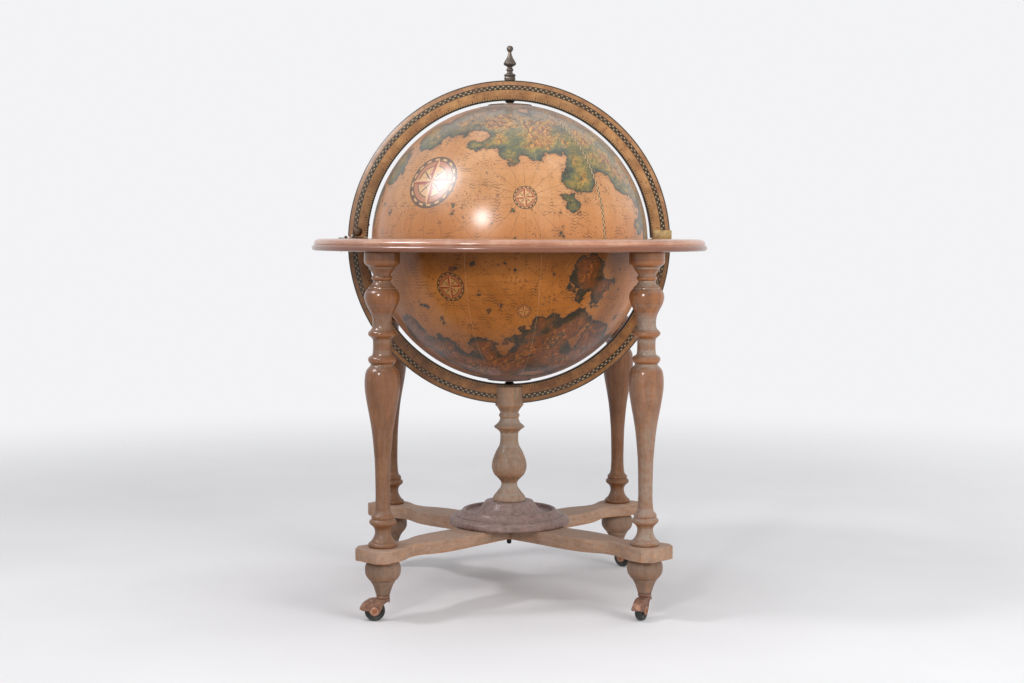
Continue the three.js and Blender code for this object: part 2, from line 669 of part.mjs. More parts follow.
function hingeFootScrew() {
  const top = CLEARANCE;
  const profile = [
    [0, -top - FOOT_SCREW_HEAD_HEIGHT],
    [FOOT_SCREW_HEAD_RADIUS, -top - FOOT_SCREW_HEAD_HEIGHT],
    [FOOT_SCREW_HEAD_RADIUS, -top],
    [FOOT_SCREW_RADIUS, -top],
    [FOOT_SCREW_RADIUS, FOOT_SCREW_LENGTH],
    [0, FOOT_SCREW_LENGTH],
  ];
  return alongFront(turned(profile, SMALL_SIDES)).translate(FOOT_SCREW_X, 0, FOOT_SCREW_Z);
}

// Pole pin, along +Z from inside the shell to past the meridian, about the globe's centre.
const CAP_OUTER = GLOBE_RADIUS + CLEARANCE + CAP_THICKNESS;
const PIN_SEAT = Math.sqrt(SHELL_INNER ** 2 - PIN_SEAT_RADIUS ** 2);
const PIN_NUT_TOP = PIN_SEAT - PIN_RUN_GAP;
const PIN_NUT_BOTTOM = PIN_NUT_TOP - NUT_HEIGHT;

function polePin() {
  const collarBottom = CAP_OUTER + PIN_RUN_GAP;
  const collarTop = MERIDIAN_INNER - 3 * CLEARANCE;
  const bottom = PIN_NUT_BOTTOM - PIN_END;
  const top = MERIDIAN_OUTER + PIN_GRIP;
  const profile = [
    [0, bottom],
    [PIN_RADIUS, bottom],
    [PIN_RADIUS, collarBottom],
    [COLLAR_NARROW, collarBottom],
    [COLLAR_WIDE, collarTop],
    [PIN_RADIUS, collarTop],
    [PIN_RADIUS, top],
    [0, top],
  ];
  return turned(profile, SMALL_SIDES);
}

function pinNut() {
  return tube(PIN_RADIUS + CLEARANCE, PIN_NUT_RADIUS, PIN_NUT_BOTTOM, PIN_NUT_TOP, SMALL_SIDES);
}

// Half of the globe, open at the equator, with the pin's hole at its pole.
const RIM = SEAM_GAP / 2;

function innerWall() {
  const rimAngle = Math.asin(RIM / SHELL_INNER);
  return arcOf(SHELL_INNER, Math.acos(PIN_SEAT_RADIUS / SHELL_INNER), rimAngle, SHELL_STEPS);
}

function hemisphere() {
  const bore = boreRadius(PIN_RADIUS, SHELL_SIDES);
  const rimAngle = Math.asin(RIM / GLOBE_RADIUS);
  const outer = arcOf(GLOBE_RADIUS, rimAngle, Math.acos(bore / GLOBE_RADIUS), SHELL_STEPS);
  return turnedRing([...outer, [bore, PIN_SEAT], ...innerWall()], SHELL_SIDES);
}

function poleCap() {
  const bore = boreRadius(PIN_RADIUS, CAP_SIDES);
  const seat = GLOBE_RADIUS + CLEARANCE;
  const outer = arcOf(CAP_OUTER, Math.acos(CAP_RADIUS / CAP_OUTER), Math.acos(bore / CAP_OUTER), CAP_STEPS);
  const inner = arcOf(seat, Math.acos(bore / seat), Math.acos(CAP_RADIUS / seat), CAP_STEPS);
  return turnedRing([...outer, ...inner], CAP_SIDES);
}

// Radius of the shell's faceted inner wall at a distance from the equator.
function wallRadiusAt(distance) {
  const wall = innerWall();
  const i = wall.findIndex(([, height]) => height <= distance);
  const [[r0, h0], [r1, h1]] = [wall[i - 1], wall[i]];
  return r0 + ((r1 - r0) * (distance - h0)) / (h1 - h0);
}

// Wooden hoop inside the rim of a half, given above the equator. The lower one has a ledge for the tray.
const HOOP_RIM = RIM + CLEARANCE;
const HOOP_END = HOOP_RIM + HOOP_HEIGHT;
const HOOP_OUTER = wallRadiusAt(HOOP_END) - CLEARANCE;
const HOOP_INNER = HOOP_OUTER - HOOP_WIDTH;
const TRAY_TOP = RIM + TRAY_INSET;
const TRAY_BOTTOM = TRAY_TOP + TRAY_THICKNESS;

function rimHoop(ledgeWidth) {
  const chamfer = HOOP_WIDTH * HOOP_CHAMFER_SHARE;
  const ledge = TRAY_BOTTOM + CLEARANCE;
  const body = [
    [HOOP_INNER, HOOP_RIM],
    [HOOP_OUTER, HOOP_RIM],
    [HOOP_OUTER, HOOP_END],
  ];
  const inside = ledgeWidth
    ? [[HOOP_INNER - ledgeWidth, HOOP_END], [HOOP_INNER - ledgeWidth, ledge], [HOOP_INNER, ledge]]
    : [[HOOP_INNER + chamfer, HOOP_END], [HOOP_INNER, HOOP_END - chamfer]];
  return turnedRing([...body, ...inside], SHELL_SIDES);
}

// Places round a circle, as [x, y].
function roundPlaces(count, radius, phase) {
  return Array.from({ length: count }, (_, i) => {
    const angle = phase + (i * 2 * Math.PI) / count;
    return [radius * Math.cos(angle), radius * Math.sin(angle)];
  });
}
const TRAY_RADIUS = HOOP_INNER - CLEARANCE;
const BOTTLE_RADIUS = TRAY_RADIUS * BOTTLE_SHARE;
const BOTTLE_PLACES = roundPlaces(BOTTLE_COUNT, TRAY_RADIUS * BOTTLE_CIRCLE_SHARE, QUARTER_TURN);
const GLASS_PLACES = roundPlaces(GLASS_COUNT, TRAY_RADIUS * GLASS_CIRCLE_SHARE, 0);

function barTray() {
  const top = CENTRE - TRAY_TOP;
  const bottom = CENTRE - TRAY_BOTTOM;
  const hole = (radius) => ([x, y]) =>
    rod(radius, bottom - OVERRUN, top + OVERRUN, BOTTLE_SIDES).translate(x, y, 0);
  return cut(
    rod(TRAY_RADIUS, bottom, top, SHELL_SIDES),
    ...BOTTLE_PLACES.map(hole(BOTTLE_RADIUS)),
    ...GLASS_PLACES.map(hole(TRAY_RADIUS * GLASS_SHARE)),
  );
}

function bottleShelf() {
  const depth = GLOBE_RADIUS * SHELF_DEPTH_SHARE;
  const top = CENTRE - depth;
  const bottom = top - SHELF_THICKNESS;
  const radius = wallRadiusAt(depth + SHELF_THICKNESS) - CLEARANCE;
  const recesses = BOTTLE_PLACES.map(([x, y]) =>
    rod(BOTTLE_RADIUS, top - SHELF_RECESS, top + OVERRUN, BOTTLE_SIDES).translate(x, y, 0));
  return cut(rod(radius, bottom, top, SHELL_SIDES), ...recesses);
}

function finial() {
  const bottom = CENTRE + MERIDIAN_OUTER + CLEARANCE;
  const bore = PIN_RADIUS + CLEARANCE;
  const boreTop = CENTRE + MERIDIAN_OUTER + PIN_GRIP + CLEARANCE;
  const profile = [
    [0, boreTop],
    [bore, boreTop],
    [bore, bottom],
    ...profileOf(FINIAL_SHARES, FINIAL_RADIUS, bottom, bottom + FINIAL_HEIGHT),
  ];
  return turned(profile, LEG_SIDES);
}

// Hinge. The ring leaf lies outwards on the ring, and the lid leaf lies under the lid's foot.
const HALF_HINGE = HINGE_WIDTH / 2;
const HALF_KNUCKLE = KNUCKLE_LENGTH / 2;
const KNUCKLE_ROOM = KNUCKLE_RADIUS + 2 * CLEARANCE;

function knuckle(y0, y1) {
  return alongY(rod(KNUCKLE_RADIUS, y0, y1, SMALL_SIDES)).translate(PIVOT_X, 0, PIVOT_Z);
}

function hingePinBore() {
  const radius = boreRadius(HINGE_PIN_RADIUS, SMALL_SIDES);
  return alongY(rod(radius, -HINGE_WIDTH, HINGE_WIDTH, SMALL_SIDES)).translate(PIVOT_X, 0, PIVOT_Z);
}

function hingeRingLeaf() {
  const inner = HALF_KNUCKLE + CLEARANCE;
  const leaf = box(PIVOT_X - RING_LEAF_LENGTH, PIVOT_X, -HALF_HINGE, HALF_HINGE, LEAF_BOTTOM, LEAF_TOP);
  const room = box(
    PIVOT_X - KNUCKLE_ROOM, PIVOT_X + KNUCKLE_ROOM, -inner, inner, RING_TOP, PIVOT_Z + KNUCKLE_ROOM,
  );
  const hole = rod(SCREW_RADIUS + CLEARANCE, RING_TOP, LEAF_TOP + OVERRUN, SMALL_SIDES);
  const sink = screwHead(LEAF_TOP + CLEARANCE, SCREW_HEAD_RADIUS + CLEARANCE);
  return cut(
    join(leaf, knuckle(-HALF_HINGE, -inner), knuckle(inner, HALF_HINGE)),
    room,
    hingePinBore(),
    hole.translate(RING_SCREW_X, 0, 0),
    sink.translate(RING_SCREW_X, 0, 0),
  );
}

function hingeLidLeaf() {
  const start = PIVOT_X + KNUCKLE_ROOM;
  const leaf = box(start, -MERIDIAN_INNER, -HALF_HINGE, HALF_HINGE, LEAF_BOTTOM, LEAF_TOP);
  const neck = box(PIVOT_X, start + OVERRUN, -HALF_KNUCKLE, HALF_KNUCKLE, LEAF_BOTTOM, LEAF_TOP);
  const half = TONGUE_THICKNESS / 2;
  const tongue = box(TONGUE_X0, TONGUE_X1, -half, half, LEAF_BOTTOM, RING_TOP + TONGUE_HEIGHT);
  const bore = alongY(rod(BOLT_RADIUS + CLEARANCE, -MERIDIAN_THICKNESS, MERIDIAN_THICKNESS, SMALL_SIDES));
  return cut(
    join(leaf, neck, tongue, knuckle(-HALF_KNUCKLE, HALF_KNUCKLE)),
    hingePinBore(),
    bore.translate(BOLT_X, 0, BOLT_Z),
  );
}

// Round-headed bolt through the foot and the tongue, head to the front, with a cap behind.
function hingeBolt() {
  const seat = MERIDIAN_THICKNESS / 2 + CLEARANCE;
  const dome = profileOf(BOLT_HEAD_SHARES, BOLT_HEAD_RADIUS, seat, seat + BOLT_HEAD_HEIGHT);
  const end = -(seat + BOLT_CAP_HEIGHT / 2);
  const bolt = turned([[0, end], [BOLT_RADIUS, end], [BOLT_RADIUS, seat], ...dome], SMALL_SIDES);
  return bolt.rotateX(QUARTER_TURN).translate(BOLT_X, 0, BOLT_Z);
}

function hingeBoltCap() {
  const seat = MERIDIAN_THICKNESS / 2 + CLEARANCE;
  const bore = BOLT_RADIUS + CLEARANCE;
  const depth = seat + BOLT_CAP_HEIGHT / 2 + CLEARANCE;
  const end = seat + BOLT_CAP_HEIGHT;
  const profile = [
    [0, depth], [bore, depth], [bore, seat], [BOLT_CAP_RADIUS, seat],
    [BOLT_CAP_RADIUS, depth], [BOLT_RADIUS, end], [0, end],
  ];
  return alongY(turned(profile, SMALL_SIDES)).translate(BOLT_X, 0, BOLT_Z);
}

// Brass shoe on the ring, open above and towards the globe.
function guideShoe() {
  const x0 = MERIDIAN_INNER + SHOE_INSET;
  const x1 = MERIDIAN_OUTER + CLEARANCE;
  const half = MERIDIAN_THICKNESS / 2 + CLEARANCE;
  const top = RING_TOP + SHOE_HEIGHT;
  const outer = box(x0, x1 + SHOE_WALL, -half - SHOE_WALL, half + SHOE_WALL, LEAF_BOTTOM, top);
  const inner = box(x0 - OVERRUN, x1, -half, half, LEAF_TOP, top + OVERRUN);
  const hole = rod(SCREW_RADIUS + CLEARANCE, RING_TOP, LEAF_TOP + OVERRUN, SMALL_SIDES);
  const sink = screwHead(LEAF_TOP + CLEARANCE, SCREW_HEAD_RADIUS + CLEARANCE);
  return cut(outer, inner, hole.translate(MERIDIAN_MIDDLE, 0, 0), sink.translate(MERIDIAN_MIDDLE, 0, 0));
}

// Stand
add("horizon_ring", horizonRing(), RING_WOOD);
for (const { corner, x, y, trail } of CORNERS) {
  const place = new THREE.Group();
  place.position.set(x * LEG_OFFSET, y * LEG_OFFSET, 0);
  root.add(place);
  add(`leg_${corner}`, leg(), TURNED_WOOD, place);
  add(`foot_${corner}`, foot(), TURNED_WOOD, place);
  add(`ferrule_${corner}`, ferrule(), COPPERED_STEEL, place);

  const caster = new THREE.Group();
  caster.rotation.z = THREE.MathUtils.degToRad(trail);
  place.add(caster);
  add(`caster_fork_${corner}`, casterFork(), COPPERED_STEEL, caster);
  const axle = add(`caster_axle_${corner}`, casterAxle(), COPPERED_STEEL, caster);
  const wheel = add(`caster_wheel_${corner}`, casterWheel(), DARK_RUBBER, caster);
  axle.position.set(WHEEL_TRAIL, 0, WHEEL_RADIUS);
  wheel.position.set(WHEEL_TRAIL, 0, WHEEL_RADIUS);
}
const EIGHTH_TURN = Math.PI / 4;
add("stretcher_lower_board", stretcherBoard(false), PLAIN_WOOD).rotation.z = EIGHTH_TURN;
add("stretcher_upper_board", stretcherBoard(true), PLAIN_WOOD).rotation.z = -EIGHTH_TURN;
add("base_disc", baseDisc(), DISC_WOOD);
add("centre_column", centreColumn(), TURNED_WOOD);
const ROD_TOP = COLUMN_BOTTOM + ROD_IN_COLUMN;
const ROD_HOLE = ROD_RADIUS + CLEARANCE;
const WASHER_BOTTOM = WASHER_TOP - WASHER_THICKNESS;
add("centre_rod", rod(ROD_RADIUS, NUT_BOTTOM - ROD_END, ROD_TOP, SMALL_SIDES), BLACK_METAL);
add("centre_washer", tube(ROD_HOLE, WASHER_RADIUS, WASHER_BOTTOM, WASHER_TOP, SMALL_SIDES), BLACK_METAL);
add("centre_nut", cut(
  rod(NUT_RADIUS, NUT_BOTTOM, NUT_TOP, HEX_SIDES),
  rod(ROD_HOLE, NUT_BOTTOM - OVERRUN, NUT_TOP + OVERRUN, SMALL_SIDES),
), BLACK_METAL);
add("lower_meridian", lowerMeridian(), MERIDIAN_PAPER);
add("lower_pole_pin", polePin().rotateX(HALF_TURN).translate(0, 0, CENTRE), BLACK_METAL);
add("lower_pin_nut", pinNut().rotateX(HALF_TURN).translate(0, 0, CENTRE), BLACK_METAL);
add("hinge_ring_leaf", hingeRingLeaf(), BRONZE);
const HINGE_PIN_END = HALF_HINGE + HINGE_PIN_RADIUS;
const hingePin = alongY(rod(HINGE_PIN_RADIUS, -HINGE_PIN_END, HINGE_PIN_END, SMALL_SIDES));
add("hinge_pin", hingePin.translate(PIVOT_X, 0, PIVOT_Z), BRONZE);
add("hinge_ring_screw", woodScrew(LEAF_TOP, RING_BOTTOM - SCREW_TIP).translate(RING_SCREW_X, 0, 0), STEEL);
add("meridian_screw", woodScrew(RING_TOP, RING_BOTTOM - SCREW_GRIP).translate(-MERIDIAN_MIDDLE, 0, 0), STEEL);
add("lid_guide_shoe", guideShoe(), BRASS);
add("shoe_screw", woodScrew(LEAF_TOP, RING_BOTTOM - SCREW_GRIP).translate(MERIDIAN_MIDDLE, 0, 0), STEEL);

// Lid, which turns on the hinge
add("upper_meridian", upperMeridian(), MERIDIAN_PAPER);
add("upper_pole_pin", polePin().translate(0, 0, CENTRE), BLACK_METAL);
add("upper_pin_nut", pinNut().translate(0, 0, CENTRE), BLACK_METAL);
add("finial", finial(), PEWTER);
add("hinge_lid_leaf", hingeLidLeaf(), BRONZE);
add("hinge_bolt", hingeBolt(), BRONZE);
add("hinge_bolt_cap", hingeBoltCap(), BRONZE);
add("hinge_foot_screw", hingeFootScrew(), STEEL);

// Upper half of the globe, which spins on the lid's pin
add("upper_hemisphere", hemisphere().translate(0, 0, CENTRE), MAP_PAPER);
add("upper_pole_cap", poleCap().translate(0, 0, CENTRE), MAP_PAPER);
add("upper_rim_hoop", rimHoop(0).translate(0, 0, CENTRE), PLAIN_WOOD);

// Lower half, which spins on the stand's pin and holds the bar
add("lower_hemisphere", hemisphere().rotateX(HALF_TURN).translate(0, 0, CENTRE), MAP_PAPER);
add("lower_pole_cap", poleCap().rotateX(HALF_TURN).translate(0, 0, CENTRE), MAP_PAPER);
add("lower_rim_hoop", rimHoop(LEDGE_WIDTH).rotateX(HALF_TURN).translate(0, 0, CENTRE), PLAIN_WOOD);
add("bar_tray", barTray(), PLAIN_WOOD);
add("bottle_shelf", bottleShelf(), PLAIN_WOOD);

export default root;
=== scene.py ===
"""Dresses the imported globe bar: fine meshes and procedural finishes around the CAD frame.

Sizes in the tables are in millimetres. Heights are above the floor unless a table says otherwise.
"""

import math

import bmesh
import bpy
import numpy as np
from mathutils import Matrix, Vector


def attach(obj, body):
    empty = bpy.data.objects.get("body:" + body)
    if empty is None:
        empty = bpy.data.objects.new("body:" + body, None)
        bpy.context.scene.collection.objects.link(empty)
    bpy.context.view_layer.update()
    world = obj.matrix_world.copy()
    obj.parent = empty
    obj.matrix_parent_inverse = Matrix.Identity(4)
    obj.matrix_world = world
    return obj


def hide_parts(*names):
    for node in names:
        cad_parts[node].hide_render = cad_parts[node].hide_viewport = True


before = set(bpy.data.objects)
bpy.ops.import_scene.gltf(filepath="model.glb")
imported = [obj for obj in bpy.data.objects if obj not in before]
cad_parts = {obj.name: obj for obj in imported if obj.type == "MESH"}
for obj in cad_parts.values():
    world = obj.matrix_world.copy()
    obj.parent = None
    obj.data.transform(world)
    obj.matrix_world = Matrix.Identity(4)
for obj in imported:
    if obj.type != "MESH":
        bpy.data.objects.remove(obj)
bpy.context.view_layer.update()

MM = 0.001
CENTRE = 639.4  # the globe's centre above the floor
GLOBE = 250.0
SHELL = 244.0  # inside of the shells
MERIDIAN_IN = 256.8
MERIDIAN_OUT = 292.3
MERIDIAN_HALF = 9.0
RING_BOTTOM = 626.0
RING_TOP = 647.0
LEG_OFFSET = 222.951  # of each leg's middle from the middle of the bar, along X and along Y
CREASE = 38  # degrees between two faces above which their edge is sharp
TINY = 1e-6
# The side of each corner along X and Y, and the way its caster's wheel trails, in degrees from X
CORNERS = {
    "front_left": (-1, -1, 180),
    "front_right": (1, -1, -119),
    "back_left": (-1, 1, 170),
    "back_right": (1, 1, -38),
}


# Meshes


def curve_through(points, step):
    """Points about a step apart on a smooth curve through the given ones.

    A point with a third entry is a corner.
    """
    made = []
    run = []
    for point in points:
        run.append(np.array(point[:2], float))
        if len(point) > 2 and len(run) > 1:
            made += smooth_run(run, step)
            run = [run[-1]]
    if len(run) > 1:
        made += smooth_run(run, step)
    made.append(run[-1])
    return np.array(made)


def smooth_run(run, step):
    """A centripetal Catmull-Rom curve through a run of points, without its last point."""
    if len(run) == 2:
        return [run[0]]
    ends = [2 * run[0] - run[1]] + run + [2 * run[-1] - run[-2]]
    made = []
    for a, b, c, d in zip(ends, ends[1:], ends[2:], ends[3:]):
        ab, bc, cd = (max(np.linalg.norm(q - p), TINY) ** 0.5 for p, q in ((a, b), (b, c), (c, d)))
        leave = bc * ((b - a) / ab - (c - a) / (ab + bc) + (c - b) / bc)
        reach = bc * ((c - b) / bc - (d - b) / (bc + cd) + (d - c) / cd)
        for t in np.linspace(0, 1, max(1, round(np.linalg.norm(c - b) / step)), endpoint=False):
            made.append((2 * t**3 - 3 * t**2 + 1) * b + (t**3 - 2 * t**2 + t) * leave
                        + (3 * t**2 - 2 * t**3) * c + (t**3 - t**2) * reach)
    return made


def mesh_of(name, verts, faces, groove=None):
    """A mesh from points in millimetres, its faces turned outwards."""
    mesh = bpy.data.meshes.new(name)
    mesh.from_pydata([tuple(v) for v in np.asarray(verts) * MM], [], faces)
    if groove is not None:
        values = np.asarray(groove, np.float32)
        mesh.attributes.new("groove", "FLOAT", "POINT").data.foreach_set("value", values)
    work = bmesh.new()
    work.from_mesh(mesh)
    bmesh.ops.recalc_face_normals(work, faces=work.faces)
    work.to_mesh(mesh)
    work.free()
    return mesh


def placed(name, data):
    made = bpy.data.objects.new(name, data)
    bpy.context.scene.collection.objects.link(made)
    return made


def dress(name, mesh, materials, body, nodes=(), choose=None):
    """A piece that rides on a body. It is smooth but for its sharp edges."""
    mesh.materials.clear()
    for material in materials:
        mesh.materials.append(material)
    for face in mesh.polygons:
        face.material_index = choose(face) if choose else 0
    mesh.shade_smooth()
    mesh.set_sharp_from_angle(angle=math.radians(CREASE))
    made = placed(name, mesh)
    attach(made, body)
    if nodes:
        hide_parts(*nodes)


def groove_of(profile, reach=9.0):
    """How far each profile point lies inside the mean of its neighbours: more than 0 in a groove."""
    radius, height = profile[:, 0], profile[:, 1]
    near = (np.abs(height[:, None] - height[None, :]) < reach) & (radius[None, :] > 0)
    mean = (near * radius[None, :]).sum(1) / np.maximum(near.sum(1), 1)
    deep = 3.0
    return np.where(radius > 0, np.clip((mean - radius) / deep, -1, 1), 0)


def turned(profile, sides, closed=False):
    """Vertices, faces and groove values of a solid of revolution about Z.

    A profile that isn't closed ends on the axis.
    """
    profile = np.asarray(profile, float)
    grooves = groove_of(profile)
    angles = np.arange(sides) * 2 * math.pi / sides
    verts, rows, groove = [], [], []
    for (radius, height), value in zip(profile, grooves):
        first = len(verts)
        if radius < TINY:
            verts.append((0, 0, height))
            rows.append([first] * sides)
        else:
            verts += [(radius * math.cos(a), radius * math.sin(a), height) for a in angles]
            rows.append(list(range(first, first + sides)))
        groove += [value] * (len(verts) - first)
    faces = []
    pairs = list(zip(rows, rows[1:])) + ([(rows[-1], rows[0])] if closed else [])
    for low, high in pairs:
        for i in range(sides):
            j = (i + 1) % sides
            ring = dict.fromkeys((low[i], low[j], high[j], high[i]))
            if len(ring) > 2:
                faces.append(tuple(ring))
    return np.array(verts), faces, groove


def moved(verts, offset=(0, 0, 0), turn=None):
    verts = np.asarray(verts, float)
    if turn is not None:
        verts = verts @ np.array(turn.to_3x3()).T
    return verts + np.array(offset, float)


def lathe(name, points, sides, materials, body, nodes=(), at=(0, 0, 0), turn=None, step=1.5,
          closed=False, choose=None):
    """A turned piece through profile points, moved to its place."""
    profile = curve_through(points, step)
    if not closed:
        profile = np.vstack([[0, profile[0][1]], profile, [0, profile[-1][1]]])
        keep = np.append(True, np.linalg.norm(np.diff(profile, axis=0), axis=1) > TINY)
        profile = profile[keep]
    elif np.linalg.norm(profile[0] - profile[-1]) < TINY:
        profile = profile[:-1]
    verts, faces, groove = turned(profile, sides, closed)
    mesh = mesh_of(name, moved(verts, at, turn), faces, groove)
    dress(name, mesh, materials, body, nodes, choose)


def block(low, high):
    x0, y0, z0 = low
    x1, y1, z1 = high
    verts = [(x, y, z) for x in (x0, x1) for y in (y0, y1) for z in (z0, z1)]
    faces = [(0, 1, 3, 2), (4, 6, 7, 5), (0, 4, 5, 1), (2, 3, 7, 6), (0, 2, 6, 4), (1, 5, 7, 3)]
    return np.array(verts, float), faces


def prism(outline, low, high):
    """An outline in X and Y, raised from low to high."""
    count = len(outline)
    verts = [(x, y, z) for z in (low, high) for x, y in outline]
    faces = [tuple(range(count))[::-1], tuple(range(count, 2 * count))]
    faces += [(i, (i + 1) % count, count + (i + 1) % count, count + i) for i in range(count)]
    return np.array(verts, float), faces


def worked(verts, faces, cutters=(), adds=(), bevel=0.0, segments=2, angle=30):
    """A mesh after exact booleans and an edge bevel."""
    base = placed("work", mesh_of("work", verts, faces))
    tools = []
    for shapes, operation in ((adds, "UNION"), (cutters, "DIFFERENCE")):
        for shape in shapes:
            tool = placed("tool", mesh_of("tool", *shape))
            tools.append(tool)
            modifier = base.modifiers.new("cut", "BOOLEAN")
            modifier.operation = operation
            modifier.solver = "EXACT"
            modifier.object = tool
    if bevel:
        modifier = base.modifiers.new("edges", "BEVEL")
        modifier.width = bevel * MM
        modifier.segments = segments
        modifier.limit_method = "ANGLE"
        modifier.angle_limit = math.radians(angle)
    graph = bpy.context.evaluated_depsgraph_get()
    graph.update()
    mesh = bpy.data.meshes.new_from_object(base.evaluated_get(graph))
    for made in [base] + tools:
        bpy.data.objects.remove(made)
    return mesh


def round_tool(radius, low, high, sides=48, at=(0, 0, 0), turn=None):
    verts, faces, _ = turned([(0, low), (radius, low), (radius, high), (0, high)], sides)
    return moved(verts, at, turn), faces


def rotation(degrees, axis):
    return Matrix.Rotation(math.radians(degrees), 4, axis)


# Turns for pieces made about Z: their top to +Y, to -Y, and upside down
ALONG_Y = rotation(-90, "X")
AGAINST_Y = rotation(90, "X")
FLIP = rotation(180, "X")


# Materials


def paint(red, green, blue):
    """A colour written in sRGB from 0 to 255, as the shader's linear colour."""
    def linear(value):
        value /= 255
        return value / 12.92 if value <= 0.04045 else ((value + 0.055) / 1.055) ** 2.4

    return (linear(red), linear(green), linear(blue), 1.0)


def arithmetic(operation):
    """The methods for an operator with the wire on its left and on its right."""
    return (lambda a, b: a.nodes.math(operation, a, b)), (lambda a, b: a.nodes.math(operation, b, a))


class Wire:
    """A node's output. Arithmetic on it adds Math nodes."""

    __add__, __radd__ = arithmetic("ADD")
    __sub__, __rsub__ = arithmetic("SUBTRACT")
    __mul__, __rmul__ = arithmetic("MULTIPLY")
    __truediv__, __rtruediv__ = arithmetic("DIVIDE")

    def __init__(self, nodes, socket):
        self.nodes = nodes
        self.socket = socket

    def __abs__(self):
        return self.nodes.math("ABSOLUTE", self)


class Nodes:
    """Builds a tree's nodes from wires and plain values."""

    def __init__(self, tree):
        self.tree = tree
        self.tree.nodes.clear()

    def node(self, kind, inputs=None, **settings):
        """A new node. A colour of three numbers is sRGB, and one of four is the shader's own."""
        made = self.tree.nodes.new(kind)
        for key, value in settings.items():
            setattr(made, key, value)
        for key, value in (inputs or {}).items():
            self.put(value, made.inputs[key])
        return made

    def put(self, value, socket):
        if isinstance(value, Wire):
            self.tree.links.new(value.socket, socket)
        elif socket.type == "RGBA" and len(value) == 3:
            socket.default_value = paint(*value)
        else:
            socket.default_value = value

    def wire(self, kind, inputs=None, output=0, **settings):
        return Wire(self, self.node(kind, inputs, **settings).outputs[output])

    def math(self, operation, *values, clamp=False):
        return self.wire("ShaderNodeMath", dict(enumerate(values)), operation=operation, use_clamp=clamp)


class Finish(Nodes):
    """One material's nodes."""

    def __init__(self, name):
        self.material = bpy.data.materials.new(name)
        self.material.use_nodes = True
        super().__init__(self.material.node_tree)
        self.place = self.wire("ShaderNodeTexCoord", output="Object")

    def most(self, first, *others):
        for other in others:
            first = self.math("MAXIMUM", first, other)
        return first

    def vector(self, operation, *values):
        output = "Value" if operation in ("DOT_PRODUCT", "LENGTH") else "Vector"
        return self.wire("ShaderNodeVectorMath", dict(enumerate(values)), output, operation=operation)

    def length(self, x, y, z=0.0):
        return self.vector("LENGTH", self.joined(x, y, z))

    def along(self, way, direction):
        return self.vector("DOT_PRODUCT", way, tuple(direction))

    def angle(self, y, x):
        """The angle of a place about an axis, in degrees."""
        return self.math("ARCTAN2", y, x) * (180 / math.pi)

    def split(self, vector):
        return [Wire(self, output) for output in self.node("ShaderNodeSeparateXYZ", {0: vector}).outputs]

    def joined(self, x, y, z=0.0):
        return self.wire("ShaderNodeCombineXYZ", {0: x, 1: y, 2: z})

    def texture(self, where, scale, detail, rough, twist):
        return self.wire("ShaderNodeTexNoise", {"Vector": where, "Scale": scale, "Detail": detail,
                                                "Roughness": rough, "Distortion": twist})

    def noise(self, size, detail=3.0, rough=0.5, stretch=(1, 1, 1), at=None, twist=0.0):
        """Noise from 0 to 1 whose features are about size millimetres across."""
        where = self.vector("MULTIPLY", at or self.place, stretch)
        return self.texture(where, 1 / (size * MM), detail, rough, twist)

    def step(self, value, low, high):
        """0 below low and 1 above high, smooth between. Where low is the larger, 1 below and 0 above."""
        inputs = {"Value": value, "From Min": low, "From Max": high}
        return self.wire("ShaderNodeMapRange", inputs, interpolation_type="SMOOTHSTEP")

    def band(self, value, low, high, soft=0.12):
        """1 between low and high, with soft edges."""
        return self.step(value, low - soft, low + soft) * self.step(value, high + soft, high - soft)

    def even(self, value, pitch, width):
        """1 within half a width of each whole multiple of the pitch."""
        off = self.math("PINGPONG", value, pitch / 2)
        return self.step(off, width / 2 + pitch * 0.01, width / 2 - pitch * 0.01)

    def checks(self, value, pitch):
        """0 and 1 by turns along a value."""
        return self.math("LESS_THAN", self.math("FRACT", value / (2 * pitch)), 0.5)

    def ramp(self, value, *stops):
        made = self.node("ShaderNodeValToRGB", {0: value})
        elements = made.color_ramp.elements
        while len(elements) < len(stops):
            elements.new(0.5)
        for element, (at, colour) in zip(elements, stops):
            element.position = at
            element.color = paint(*colour)
        return Wire(self, made.outputs[0])

    def mix(self, factor, a, b):
        """The colour a where the factor is 0, and b where it is 1."""
        return self.wire("ShaderNodeMix", {0: factor, 6: a, 7: b}, 2, data_type="RGBA")

    def aged_paper(self, light, middle, dark):
        blots = self.noise(24, 5, 0.65)
        fine = self.noise(1.6, 4, 0.7)
        return self.ramp(blots * 0.75 + fine * 0.25, (0.34, dark), (0.5, middle), (0.66, light))

    def bump(self, height, strength, distance):
        inputs = {"Strength": strength, "Distance": distance * MM, "Height": height}
        return self.wire("ShaderNodeBump", inputs)

    def surface(self, **inputs):
        shader = self.node("ShaderNodeBsdfPrincipled")
        for key, value in inputs.items():
            self.put(value, shader.inputs[key.replace("_", " ")])
        self.tree.links.new(shader.outputs[0], self.node("ShaderNodeOutputMaterial").inputs[0])
        return self.material


